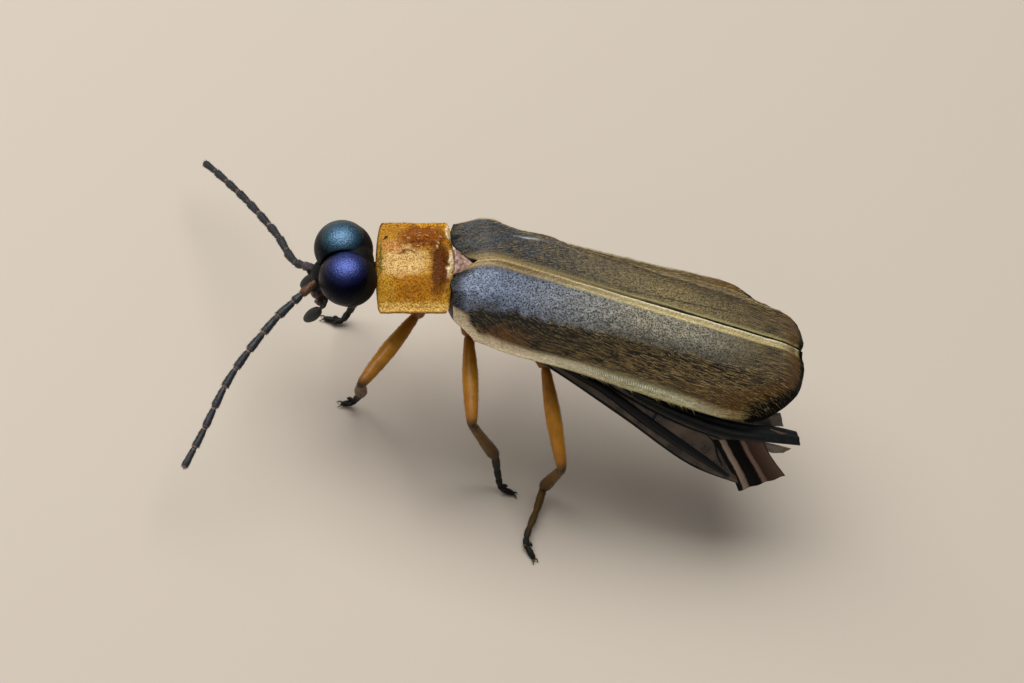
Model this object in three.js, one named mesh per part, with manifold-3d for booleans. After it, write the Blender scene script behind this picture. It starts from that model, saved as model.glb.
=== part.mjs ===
// A male firefly, life size, standing on its six feet with its feelers spread.
// Millimetres, +Z up, head towards -X, the insect's left side towards -Y, floor at z = 0.
import * as THREE from 'three';
import { mergeVertices } from 'three/addons/utils/BufferGeometryUtils.js';
import Module from 'manifold-3d';

const wasm = await Module();
wasm.setup();

// Stance: height of the back above the floor and how the two halves of the body tilt.
const NECK_PIVOT = [-0.085, 0.03, 4.85];
const FORE_BODY_PITCH = 20;
const BACK_ORIGIN = [0, 0, 5.74];
const BACK_PITCH = 8.6;
const HEAD_YAW = 6;
const CENTRE_SHIFT = [-1.937, 0.098, 0];

// Gap that keeps two neighbouring pieces apart, in scale with an insect this small.
const GAP = 0.1;

// Pronotum, the shield behind the head.
const SHIELD_LENGTH = 1.5;
const SHIELD_HALF_WIDTH = 1.12;
const SHIELD_CROWN = 0.3;
const SHIELD_EDGE_THICKNESS = 0.16;
const SHIELD_FRONT_BULGE = 0.08;
const SHIELD_REAR_BULGE = 0.1;
const SHIELD_CORNER = 0.06;

// Head and eyes, from the point between the two eye centres.
const HEAD_CENTRE = [-2.24, 0, 0.23];
const EYE_RADIUS = 0.61;
const EYE_SPACING = 0.41;
const EYE_GROOVE = 0.1;

// Feelers, with eleven segments each.
const FEELER_SEGMENTS = 11;
const FEELER_FIRST = 0.08;
const FEELER_SECOND = 0.055;
const FEELER_THICKNESS = 0.42;
const FEELER_TIP_THICKNESS = 0.3;

// Wing cases.
const CASE_LENGTH = 8.58;
const CASE_THICKNESS = 0.28;
const CASE_FLARE_START = 0.86;
const CASE_FLARE_SHARE = 0.12;
const CASE_TIP_FULLNESS = 1.1;
const CASE_TIP_CUT = 2;
const CASE_TIP_ROUNDNESS = 2.2;
const CASE_TIP_ROLL = 0.38;
const CASE_FRONT_ROLL = 0.12;
const SHOULDER_BUMP = 0.3;
const SUTURE_RIDGE = 0.04;

// Flying wings folded under the cases.
const WING_ROOT = 1.3;
const WING_THICKNESS = 0.22;
const WING_FREE_THICKNESS = 0.4;
const WING_CLEARANCE = 0.16;
const VEIN_HEIGHT = 0.07;
const TUCKED_ROOT = 1.35;
const TUCKED_ROOT_THICKNESS = 0.16;
const TUCKED_THICKNESS = 0.3;
const TUCKED_DROP = 0.1;

// Legs.
const FEMUR_THICKNESS = 0.5;
const SHIN_THICKNESS = 0.42;
const FOOT_THICKNESS = 0.36;
const LEG_SIDES = 9;

const v3 = (x, y, z) => new THREE.Vector3(x, y, z);
const radians = (degrees) => THREE.MathUtils.degToRad(degrees);

// Smooth value between the points [x, value] of a short profile.
function profile(points, x) {
  const last = points.length - 1;
  if (x <= points[0][0]) return points[0][1];
  if (x >= points[last][0]) return points[last][1];
  let i = 0;
  while (x > points[i + 1][0]) i += 1;
  const slope = (a, b) => (b[1] - a[1]) / (b[0] - a[0]);
  const span = points[i + 1][0] - points[i][0];
  const t = (x - points[i][0]) / span;
  const rise = slope(points[i], points[i + 1]);
  const startSlope = i > 0 ? slope(points[i - 1], points[i + 1]) : rise;
  const endSlope = i + 2 <= last ? slope(points[i], points[i + 2]) : rise;
  const t2 = t * t;
  const t3 = t2 * t;
  return (2 * t3 - 3 * t2 + 1) * points[i][1] + (t3 - 2 * t2 + t) * span * startSlope
    + (3 * t2 - 2 * t3) * points[i + 1][1] + (t3 - t2) * span * endSlope;
}

// Solid from points and triangles; the triangles are turned over when they face inwards.
function solidFrom(points, triangles) {
  let volume = 0;
  for (let i = 0; i < triangles.length; i += 3) {
    const [a, b, c] = [points[triangles[i]], points[triangles[i + 1]], points[triangles[i + 2]]];
    volume += a.dot(b.clone().cross(c));
  }
  const faces = volume < 0 ? triangles.slice().reverse() : triangles;
  const vertProperties = new Float32Array(points.flatMap((p) => [p.x, p.y, p.z]));
  const triVerts = new Uint32Array(faces);
  return new wasm.Manifold(new wasm.Mesh({ numProp: 3, vertProperties, triVerts }));
}

// Solid from a closed geometry of three.js.
function solidOf(geometry) {
  const bare = geometry.index ? geometry : geometry.clone();
  bare.deleteAttribute('normal');
  bare.deleteAttribute('uv');
  const merged = mergeVertices(bare, 1e-5);
  const points = [];
  const place = merged.getAttribute('position');
  for (let i = 0; i < place.count; i += 1) points.push(v3().fromBufferAttribute(place, i));
  return solidFrom(points, Array.from(merged.index.array));
}

// Solid through rings of points that run along a body, with a fan at each end.
function loft(rings) {
  const count = rings[0].length;
  const points = rings.flat();
  const triangles = [];
  for (let i = 0; i + 1 < rings.length; i += 1) {
    for (let j = 0; j < count; j += 1) {
      const a = i * count + j;
      const b = i * count + ((j + 1) % count);
      triangles.push(a, b, b + count, a, b + count, a + count);
    }
  }
  const middle = (ring) => ring.reduce((sum, p) => sum.add(p), v3(0, 0, 0)).divideScalar(count);
  const start = points.push(middle(rings[0])) - 1;
  const end = points.push(middle(rings[rings.length - 1])) - 1;
  const lastRing = (rings.length - 1) * count;
  for (let j = 0; j < count; j += 1) {
    const next = (j + 1) % count;
    triangles.push(start, next, j);
    triangles.push(end, lastRing + j, lastRing + next);
  }
  return solidFrom(points, triangles);
}

// Ring across the X axis: half width, top and bottom heights, and a squareness of 2 for an oval.
function bodyRing(x, halfWidth, top, bottom, squareness, sides) {
  const ring = [];
  const middle = (top + bottom) / 2;
  const half = (top - bottom) / 2;
  const power = 2 / squareness;
  for (let i = 0; i < sides; i += 1) {
    const angle = (2 * Math.PI * i) / sides;
    const [c, s] = [Math.cos(angle), Math.sin(angle)];
    const y = Math.sign(c) * Math.abs(c) ** power * halfWidth;
    const z = Math.sign(s) * Math.abs(s) ** power * half;
    ring.push(v3(x, y, middle + z));
  }
  return ring;
}

// Thin solid between two faces; across and along list the places of the grid lines, 0 to 1.
function sheet(along, across, topAt, bottomAt) {
  const points = [];
  const triangles = [];
  for (const face of [topAt, bottomAt]) {
    for (const u of along) {
      for (const s of across) points.push(face(u, s));
    }
  }
  const width = across.length;
  const layer = along.length * width;
  const cell = (a, b, c, d) => triangles.push(a, b, c, a, c, d);
  for (let i = 0; i + 1 < along.length; i += 1) {
    for (let j = 0; j + 1 < width; j += 1) {
      const a = i * width + j;
      triangles.push(a, a + width, a + width + 1, a, a + width + 1, a + 1);
      const b = a + layer;
      triangles.push(b, b + width + 1, b + width, b, b + 1, b + width + 1);
    }
  }
  const rim = [];
  for (let j = 0; j + 1 < width; j += 1) rim.push(j);
  for (let i = 0; i + 1 < along.length; i += 1) rim.push(i * width + width - 1);
  for (let j = width - 1; j > 0; j -= 1) rim.push((along.length - 1) * width + j);
  for (let i = along.length - 1; i > 0; i -= 1) rim.push(i * width);
  for (let k = 0; k < rim.length; k += 1) {
    const a = rim[k];
    const b = rim[(k + 1) % rim.length];
    cell(a, b, b + layer, a + layer);
  }
  return solidFrom(points, triangles);
}

// Point on the inner face of a sheet, square to its outer face.
function offsetPoint(face, u, s, depth) {
  const step = 0.004;
  const here = face(u, s);
  const du = face(Math.min(u + step, 1), s).sub(face(Math.max(u - step, 0), s));
  const ds = face(u, Math.min(s + step, 1)).sub(face(u, Math.max(s - step, 0)));
  const normal = du.cross(ds).normalize();
  if (normal.z > 0) normal.negate();
  return here.addScaledVector(normal, depth);
}

// Round limb along a smooth curve; radiusAt takes 0 at the root and 1 at the tip, and the domes
// are the angles of the rings that round each end.
function limb(places, radiusAt, steps, sides, domes = [25, 60]) {
  const curve = new THREE.CatmullRomCurve3(places.map((p) => v3(...p)), false, 'centripetal');
  const frames = curve.computeFrenetFrames(steps);
  const ring = (centre, i, radius) => {
    const points = [];
    for (let k = 0; k < sides; k += 1) {
      const angle = (2 * Math.PI * k) / sides;
      const point = centre.clone().addScaledVector(frames.normals[i], Math.cos(angle) * radius);
      points.push(point.addScaledVector(frames.binormals[i], Math.sin(angle) * radius));
    }
    return points;
  };
  const rings = [];
  for (const tilt of domes) {
    const radius = radiusAt(0);
    const back = -radius * Math.cos(radians(tilt));
    const centre = curve.getPointAt(0).addScaledVector(frames.tangents[0], back);
    rings.push(ring(centre, 0, radius * Math.sin(radians(tilt))));
  }
  for (let i = 0; i <= steps; i += 1) rings.push(ring(curve.getPointAt(i / steps), i, radiusAt(i / steps)));
  for (const tilt of domes.slice().reverse()) {
    const radius = radiusAt(1);
    const ahead = radius * Math.cos(radians(tilt));
    const centre = curve.getPointAt(1).addScaledVector(frames.tangents[steps], ahead);
    rings.push(ring(centre, steps, radius * Math.sin(radians(tilt))));
  }
  return loft(rings);
}

// Egg-shaped solid.
function egg(centre, radii, columns = 16, rows = 10) {
  const geometry = new THREE.SphereGeometry(1, columns, rows);
  geometry.scale(...radii);
  geometry.translate(...centre);
  return solidOf(geometry);
}

// Box between two corners, used to cut.
function block(low, high) {
  const size = high.map((value, i) => value - low[i]);
  const geometry = new THREE.BoxGeometry(...size);
  geometry.translate(...low.map((value, i) => value + size[i] / 2));
  return solidOf(geometry);
}

// The largest closed piece of a solid, with any scrap dropped.
function largest(solid) {
  const pieces = solid.decompose();
  return pieces.reduce((best, piece) => (piece.volume() > best.volume() ? piece : best));
}

// Named mesh with its own finish.
function piece(name, solid, finish) {
  const { vertProperties, triVerts } = largest(solid).getMesh();
  const geometry = new THREE.BufferGeometry();
  geometry.setAttribute('position', new THREE.BufferAttribute(new Float32Array(vertProperties), 3));
  geometry.setIndex(new THREE.BufferAttribute(new Uint32Array(triVerts), 1));
  geometry.computeVertexNormals();
  const mesh = new THREE.Mesh(geometry, new THREE.MeshStandardMaterial(finish));
  mesh.name = name;
  return mesh;
}

// Solid moved by a nested group's place in the firefly, for cutting neighbours with it.
function movedBy(matrix, solid) {
  return solid.transform(matrix.elements);
}

// Finishes.
const FINISH = {
  eye: { color: 0x14141c, roughness: 0.22, metalness: 0 },
  head: { color: 0x1c1712, roughness: 0.5, metalness: 0 },
  mouth: { color: 0x4a2c1a, roughness: 0.45, metalness: 0 },
  feeler: { color: 0x20242b, roughness: 0.7, metalness: 0 },
  shield: { color: 0xcf8a1e, roughness: 0.35, metalness: 0 },
  scutellum: { color: 0x9a6a4e, roughness: 0.5, metalness: 0 },
  thorax: { color: 0x33241a, roughness: 0.5, metalness: 0 },
  abdomen: { color: 0x2a1f18, roughness: 0.5, metalness: 0 },
  lantern: { color: 0xe6dcb0, roughness: 0.5, metalness: 0 },
  wingCase: { color: 0x4a4234, roughness: 0.5, metalness: 0 },
  wing: { color: 0x2b2520, roughness: 0.35, metalness: 0 },
  femur: { color: 0xb06a10, roughness: 0.35, metalness: 0 },
  shin: { color: 0x6b4a18, roughness: 0.5, metalness: 0 },
  foot: { color: 0x1e1d16, roughness: 0.7, metalness: 0 },
};

// Groups that tilt the front and the rear of the body.
const firefly = new THREE.Group();
firefly.name = 'firefly';
firefly.position.set(...CENTRE_SHIFT);
const foreBody = new THREE.Group();
foreBody.position.set(...NECK_PIVOT);
foreBody.rotation.y = -radians(FORE_BODY_PITCH);
const headGroup = new THREE.Group();
headGroup.position.set(...HEAD_CENTRE);
headGroup.rotation.z = radians(HEAD_YAW);
foreBody.add(headGroup);
const back = new THREE.Group();
back.position.set(...BACK_ORIGIN);
back.rotation.y = radians(BACK_PITCH);
firefly.add(foreBody, back);
firefly.updateMatrixWorld(true);
const fromFirefly = firefly.matrixWorld.clone().invert();
const placeOf = (group) => fromFirefly.clone().multiply(group.matrixWorld);
const foreToBody = placeOf(foreBody);
const headToBody = placeOf(headGroup);
const backToBody = placeOf(back);
const bodyToFore = foreToBody.clone().invert();
const bodyToBack = backToBody.clone().invert();
const headToFore = bodyToFore.clone().multiply(headToBody);

// Eyes: two balls that almost meet in a narrow groove over the head.
function eyeSolid(side, grow = 0) {
  const ball = egg([0, side * EYE_SPACING, 0], Array(3).fill(EYE_RADIUS + grow), 22, 14);
  const reach = 3;
  const inner = side * (EYE_GROOVE / 2);
  const half = side > 0
    ? block([-reach, inner, -reach], [reach, reach, reach])
    : block([-reach, -reach, -reach], [reach, inner, reach]);
  return grow > 0 ? ball : ball.intersect(half);
}

// Head: a capsule between and behind the eyes, a brow in front that carries the feelers, and a neck.
function headSolid(grow = 0) {
  const swell = (radii) => radii.map((r) => r + grow);
  const capsule = egg([-0.04, 0, -0.32], swell([0.6, 0.42, 0.48]));
  const brow = egg([-0.42, 0, -0.48], swell([0.42, 0.4, 0.44]));
  const neck = egg([0.56, 0, -0.58], swell([0.44, 0.3, 0.24]), 12, 8);
  return capsule.add(brow).add(neck);
}

const eyesGrown = eyeSolid(-1, GAP).add(eyeSolid(1, GAP));
const head = headSolid().subtract(eyesGrown);
const headGrown = headSolid(GAP);

// Mouth: upper lip and a pair of curved jaws under the brow.
function mouthSolid(grow = 0) {
  let mouth = egg([-0.52, 0, -1.02], [0.24 + grow, 0.3 + grow, 0.24 + grow], 10, 8);
  for (const side of [-1, 1]) {
    const root = [-0.55, side * 0.2, -1.1];
    const bend = [-0.66, side * 0.2, -1.28];
    const tip = [-0.68, side * 0.08, -1.42];
    mouth = mouth.add(limb([root, bend, tip], (t) => 0.1 * (1 - 0.65 * t) + grow, 3, 6, []));
  }
  return mouth;
}

// Palp: two thin segments out of the mouth, then an oval end that hangs forwards.
function palpSolid(side) {
  const places = [
    [-0.5, side * 0.16, -0.98],
    [-0.58, side * 0.34, -1.1],
    [-0.68, side * 0.43, -1.2],
    [-0.82, side * 0.43, -1.34],
    [-0.93, side * 0.41, -1.44],
  ];
  const width = [[0, 0.09], [0.25, 0.12], [0.4, 0.09], [0.72, 0.18], [0.9, 0.15], [1, 0.09]];
  return limb(places, (t) => profile(width, t), 9, 7, [40]);
}

const mouthGrown = mouthSolid(GAP);
headGroup.add(
  piece('head', head, FINISH.head),
  piece('eye_left', eyeSolid(-1), FINISH.eye),
  piece('eye_right', eyeSolid(1), FINISH.eye),
  piece('mouthparts', mouthSolid().subtract(headGrown), FINISH.mouth),
);
for (const [name, side] of [['palp_left', -1], ['palp_right', 1]]) {
  const palp = palpSolid(side).subtract(headGrown).subtract(mouthGrown);
  headGroup.add(piece(name, palp, FINISH.mouth));
}

// Feelers: a stout first segment, a short second and nine alike, each wider at its far end,
// spread in a drooping V.
function feelerSolid(places) {
  const taper = (t) => THREE.MathUtils.lerp(FEELER_THICKNESS, FEELER_TIP_THICKNESS, t) / 2;
  const alike = (1 - FEELER_FIRST - FEELER_SECOND) / (FEELER_SEGMENTS - 2);
  const radius = (t) => {
    if (t < FEELER_FIRST) return taper(t) * (0.8 + 0.25 * (t / FEELER_FIRST));
    if (t < FEELER_FIRST + FEELER_SECOND) return taper(t) * 0.8;
    const inSegment = ((t - FEELER_FIRST - FEELER_SECOND) / alike + 1e-6) % 1;
    return taper(t) * (inSegment < 0.34 ? 0.76 : 1);
  };
  return limb(places, radius, FEELER_SEGMENTS * 3, 7);
}

const FEELER_LEFT = [
  [-2.78, -0.27, 3.7], [-3.13, -0.65, 3.47], [-3.56, -1.16, 3.2],
  [-4.28, -2.35, 2.65], [-4.75, -3.65, 2.12], [-4.98, -4.24, 1.86],
];
const FEELER_RIGHT = [
  [-2.74, 0.12, 3.68], [-3.08, 0.52, 3.23], [-3.37, 1.37, 2.84],
  [-3.89, 2.57, 2.18], [-4.4, 3.58, 1.55], [-4.61, 3.96, 1.28],
];
const headGrownInBody = movedBy(headToBody, headGrown.add(mouthGrown));
const eyesGrownInBody = movedBy(headToBody, eyesGrown);
for (const [name, places] of [['antenna_left', FEELER_LEFT], ['antenna_right', FEELER_RIGHT]]) {
  const feeler = feelerSolid(places).subtract(headGrownInBody).subtract(eyesGrownInBody);
  firefly.add(piece(name, feeler, FINISH.feeler));
}

// Pronotum: a shield with thin spread edges over the narrower first ring of the thorax.
function shieldTop(u, s) {
  const y = (2 * s - 1) * SHIELD_HALF_WIDTH;
  const across = Math.abs(2 * s - 1);
  const corner = SHIELD_CORNER * Math.max(0, (across - 0.88) / 0.12) ** 2;
  const front = -SHIELD_LENGTH - SHIELD_FRONT_BULGE * (1 - across ** 2) + corner;
  const rear = SHIELD_REAR_BULGE * (1 - across ** 2) - corner;
  const along = 1 - Math.abs(2 * u - 1) ** 4;
  const dome = SHIELD_CROWN * (1 - across ** 2.4) * (0.45 + 0.55 * along);
  const groove = 0.035 * Math.exp(-((y / 0.1) ** 2)) * along;
  return v3(front + (rear - front) * u, y, dome - groove);
}

function shieldSolid(grow = 0) {
  const along = [0, 0.06, 0.16, 0.3, 0.45, 0.6, 0.75, 0.88, 0.95, 1];
  const across = [0, 0.03, 0.06, 0.1, 0.18, 0.28, 0.38, 0.45, 0.5, 0.55, 0.62, 0.72, 0.82, 0.9, 0.94, 0.97, 1];
  const stretch = 1 + grow / SHIELD_HALF_WIDTH;
  const widen = (p) => v3((p.x + SHIELD_LENGTH / 2) * stretch - SHIELD_LENGTH / 2, p.y * stretch, p.z);
  const top = (u, s) => widen(shieldTop(u, s)).add(v3(0, 0, grow));
  const bottom = (u, s) => {
    const point = widen(shieldTop(u, s));
    return v3(point.x, point.y, -SHIELD_EDGE_THICKNESS + 0.25 * point.z - grow);
  };
  return sheet(along, across, top, bottom);
}

function foreThoraxSolid(grow = 0) {
  const rings = [
    [-1.4, 0.42, -0.02, -0.62], [-1.2, 0.56, 0.05, -0.84], [-0.8, 0.66, 0.08, -1.06],
    [-0.4, 0.68, 0.08, -1.06], [-0.14, 0.6, 0.05, -0.9],
  ].map(([x, halfWidth, top, bottom], i, all) => {
    const outward = i === 0 ? -grow : grow * Number(i === all.length - 1);
    return bodyRing(x + outward, halfWidth + grow, top + grow, bottom - grow, 2.2, 20);
  });
  return loft(rings);
}

const headGrownInFore = movedBy(headToFore, headGrown.add(eyesGrown));
const pronotum = shieldSolid().add(foreThoraxSolid()).subtract(headGrownInFore);
foreBody.add(piece('pronotum', pronotum, FINISH.shield));
const foreThoraxGrown = movedBy(foreToBody, foreThoraxSolid(GAP));
const pronotumGrown = movedBy(foreToBody, shieldSolid(GAP)).add(foreThoraxGrown);
const pronotumGrownInBack = movedBy(bodyToBack, pronotumGrown);

// Wing-case roof along X: half width, fall from the back line to the side, and how square it is.
const CASE_HALF_WIDTH = [[0, 1.33], [1.3, 1.57], [3.2, 1.66], [5.2, 1.76], [6.4, 1.81], [7.5, 1.7]];
const CASE_FALL = [[0, 0.8], [1.1, 1.06], [3.2, 0.95], [5.2, 0.92], [7.1, 0.84], [8.6, 0.8]];
const CASE_SQUARENESS = [[0, 6], [1.2, 5.2], [3, 4], [6, 3.4], [8.6, 3]];
const CASE_BASE = [[0, 0.44], [0.2, 0.14], [0.45, -0.03], [0.68, 0.02], [0.86, 0.34], [1, 0.9]];
const backLine = (x) => -0.45 * Math.exp(-((x / 0.45) ** 2));

function roofHeight(x, y) {
  const share = Math.abs(y) / profile(CASE_HALF_WIDTH, x);
  const steep = Math.min(share / CASE_FLARE_START, 1) ** profile(CASE_SQUARENESS, x);
  const flare = Math.max(share - CASE_FLARE_START, 0) / (1 - CASE_FLARE_START);
  const shoulder = SHOULDER_BUMP * Math.exp(-(((share - 0.7) / 0.22) ** 2) - ((x - 0.6) / 0.9) ** 2);
  return backLine(x) + shoulder
    - profile(CASE_FALL, x) * ((1 - CASE_FLARE_SHARE) * steep + CASE_FLARE_SHARE * flare);
}

// Outer face of one wing case: u runs from base to tip and s from the seam to the side edge.
function caseTop(side, u, s, grow = 0) {
  const base = profile(CASE_BASE, s);
  const length = CASE_LENGTH + CASE_TIP_FULLNESS * s - CASE_TIP_CUT * s ** CASE_TIP_ROUNDNESS - base;
  const x = base - grow + (length + 2 * grow) * u;
  const share = (x - base) / length;
  const y = GAP / 2 + s * (profile(CASE_HALF_WIDTH, x) + grow - GAP / 2);
  const tipRoll = CASE_TIP_ROLL * Math.max(0, (share - 0.92) / 0.08) ** 2 * (0.3 + 0.7 * Math.min(1, 3 * s));
  const frontRoll = CASE_FRONT_ROLL * Math.max(0, (0.06 - share) / 0.06) ** 2;
  const ridge = SUTURE_RIDGE * Math.max(0, 1 - s / 0.05);
  return v3(x, side * y, roofHeight(x, y) - tipRoll - frontRoll + ridge);
}

const CASE_ALONG = [
  0, 0.012, 0.03, 0.06, 0.1, 0.15, 0.22, 0.3, 0.38, 0.46, 0.54, 0.62, 0.7, 0.78,
  0.85, 0.9, 0.94, 0.97, 0.988, 1,
];
const CASE_ACROSS = [0, 0.04, 0.09, 0.2, 0.34, 0.48, 0.6, 0.7, 0.79, 0.86, 0.93, 1];

function caseSolid(side, grow = 0) {
  const outer = (u, s) => caseTop(side, u, s, grow);
  const thickness = (s) => CASE_THICKNESS * (s > CASE_FLARE_START ? 0.8 : 1);
  const inward = (u, s, depth) => {
    const point = offsetPoint(outer, u, s, depth);
    const square = Math.min(1, s / 0.2);
    return point.setY(THREE.MathUtils.lerp(outer(u, s).y, point.y, square));
  };
  const top = grow > 0 ? (u, s) => inward(u, s, -grow) : outer;
  const bottom = (u, s) => inward(u, s, thickness(s) + grow);
  return sheet(CASE_ALONG, CASE_ACROSS, top, bottom);
}

for (const [name, side] of [['elytron_left', -1], ['elytron_right', 1]]) {
  back.add(piece(name, caseSolid(side).subtract(pronotumGrownInBack), FINISH.wingCase));
}

// Scutellum: the small three-cornered plate between the bases of the wing cases.
function scutellumSolid() {
  const top = (u, s) => {
    const halfWidth = 0.21 * (1 - u) + 0.02;
    return v3(0.05 + 0.34 * u, (2 * s - 1) * halfWidth, -0.5 + 0.05 * u - 0.06 * (2 * s - 1) ** 2);
  };
  const bottom = (u, s) => top(u, s).add(v3(0, 0, -0.16));
  return sheet([0, 0.5, 1], [0, 0.25, 0.5, 0.75, 1], top, bottom);
}
back.add(piece('scutellum', scutellumSolid().subtract(pronotumGrownInBack), FINISH.scutellum));

// Thorax: the middle and hind rings that carry the wings and four of the legs.
function thoraxSolid(grow = 0) {
  const rings = [
    [0.12, 0.7, 4.78, 3.85], [0.4, 0.84, 4.84, 3.62], [0.9, 0.98, 4.85, 3.42],
    [1.6, 1.04, 4.8, 3.3], [2.3, 1.02, 4.7, 3.28], [2.85, 0.92, 4.56, 3.36],
  ].map(([x, halfWidth, top, bottom], i, all) => {
    const outward = i === 0 ? -grow : grow * Number(i === all.length - 1);
    return bodyRing(x + outward, halfWidth + grow, top + grow, bottom - grow, 2.1, 24);
  });
  return loft(rings);
}
const thoraxGrown = thoraxSolid(GAP);
firefly.add(piece('thorax', thoraxSolid().subtract(pronotumGrown), FINISH.thorax));

// Abdomen: ringed, flat under the wings, with the pale light organ as its last two rings.
const BELLY = [
  [2.95, 0.88, 4.12, 3.36], [3.6, 0.96, 3.92, 3.26], [5, 0.98, 3.78, 3.2],
  [6.4, 0.92, 3.62, 3.14], [7.4, 0.72, 3.5, 3.1], [8.1, 0.4, 3.4, 3.14],
];
const bellyAt = (column, x) => profile(BELLY.map((row) => [row[0], row[column]]), x);

function bellySolid(start, end, segments) {
  const rings = [];
  const ring = (x, swell) => {
    const [halfWidth, top, bottom] = [1, 2, 3].map((column) => bellyAt(column, x));
    rings.push(bodyRing(x, halfWidth + swell, top, bottom - swell, 2.3, 24));
  };
  const step = (end - start) / segments;
  for (let i = 0; i < segments; i += 1) {
    ring(start + step * i, -0.05);
    ring(start + step * (i + 0.12), 0);
    ring(start + step * (i + 0.85), 0.03);
  }
  ring(end, -0.06);
  return loft(rings);
}
firefly.add(piece('abdomen', bellySolid(2.95, 6.6, 5), FINISH.abdomen));
firefly.add(piece('light_organ', bellySolid(6.6 + GAP, 8.1, 2), FINISH.lantern));

// Flying wings: folded sheets under the cases; the left one sags out below the edge of its case.
const WING_ALONG = [0, 0.06, 0.14, 0.22, 0.3, 0.38, 0.46, 0.54, 0.62, 0.7, 0.78, 0.86, 0.93, 1];
const WING_ACROSS = [
  0, 0.16, 0.3, 0.34, 0.38, 0.52, 0.6, 0.64, 0.66, 0.72, 0.76, 0.8, 0.86, 0.9, 0.92, 0.94, 0.96, 1,
];
const VEINS = [0.34, 0.64, 0.92];
const SAG = {
  out: [
    [1.3, 1.2], [2.3, 1.36], [3.5, 1.7], [4.8, 2.08], [5.6, 2.28], [6.5, 2.42], [7.7, 2.45], [8.9, 2.35],
  ],
  height: [
    [1.3, 4.0], [2.3, 3.98], [3.5, 3.72], [4.8, 3.34], [5.6, 3], [6.5, 2.66], [7.7, 2.34], [8.3, 2.05],
  ],
  end: [
    [0, 8.05], [0.52, 8.1], [0.6, 8.95], [0.66, 8.8], [0.72, 8.2],
    [0.8, 8.5], [0.86, 8.85], [0.93, 8.7], [1, 8.2],
  ],
};
// Middle of the sagging wing at u along and s across: level under the back, down past the belly,
// then out to the front edge.
function saggingMiddle(u, s) {
  const x = WING_ROOT + (profile(SAG.end, s) - WING_ROOT) * u;
  const under = v3(x, 0, 0).applyMatrix4(bodyToBack);
  const halfWidth = profile(CASE_HALF_WIDTH, under.x);
  const roof = (y) => v3(under.x, 0, roofHeight(under.x, y)).applyMatrix4(backToBody).z;
  const inner = GAP + 0.5 * (1 - Math.min(1, u * 3)) ** 2;
  const outer = profile(SAG.out, x);
  const clear = CASE_THICKNESS + GAP + WING_THICKNESS / 2;
  const course = [
    [inner, roof(inner) - clear - 0.06],
    [halfWidth * 0.5, roof(halfWidth * 0.5) - clear - 0.15],
    [halfWidth * 0.78, roof(halfWidth * 0.78) - clear - 0.4],
  ];
  if (outer > halfWidth) course.push([halfWidth * 0.96, roof(halfWidth) - clear - 0.22]);
  course.push([outer, profile(SAG.height, x)]);
  const y = inner + (outer - inner) * s;
  return v3(x, -y, profile(course, y));
}

const veinRidge = (s) => Math.max(0, ...VEINS.map((place) => 1 - Math.abs(s - place) / 0.04)) * VEIN_HEIGHT;

function saggingWingSolid() {
  const half = (s) => {
    const free = THREE.MathUtils.smoothstep(s, 0.6, 0.85);
    return THREE.MathUtils.lerp(WING_THICKNESS, WING_FREE_THICKNESS, free) / 2;
  };
  const top = (u, s) => offsetPoint(saggingMiddle, u, s, -half(s) - veinRidge(s));
  const bottom = (u, s) => offsetPoint(saggingMiddle, u, s, half(s));
  return sheet(WING_ALONG, WING_ACROSS, top, bottom);
}
const leftCaseGrown = movedBy(backToBody, caseSolid(-1, WING_CLEARANCE));
const saggingWing = saggingWingSolid().subtract(thoraxGrown).subtract(leftCaseGrown);
firefly.add(piece('hindwing_left', saggingWing, FINISH.wing));

// The right wing lies flat under its case, thin over the thorax and thicker behind it.
const TUCKED_WIDTH = [[1.35, 0.5], [3, 0.72], [6.5, 0.9], [7.8, 0.8]];
const TUCKED_END = [[0, 7.7], [0.6, 7.8], [1, 7.4]];

function tuckedWingSolid() {
  const face = (u, s, depth) => {
    const x = TUCKED_ROOT + (profile(TUCKED_END, s) - TUCKED_ROOT) * u;
    const y = GAP + s * profile(TUCKED_WIDTH, x);
    const clear = CASE_THICKNESS + GAP + VEIN_HEIGHT + TUCKED_DROP * s ** 2;
    return v3(x, y, roofHeight(x, y) - clear - depth);
  };
  const thickness = (u) => {
    const behind = THREE.MathUtils.smoothstep(u, 0.22, 0.35);
    return THREE.MathUtils.lerp(TUCKED_ROOT_THICKNESS, TUCKED_THICKNESS, behind);
  };
  const top = (u, s) => face(u, s, -veinRidge(s));
  const bottom = (u, s) => face(u, s, thickness(u));
  return sheet(WING_ALONG, WING_ACROSS, top, bottom);
}
back.add(piece('hindwing_right', tuckedWingSolid(), FINISH.wing));

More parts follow.
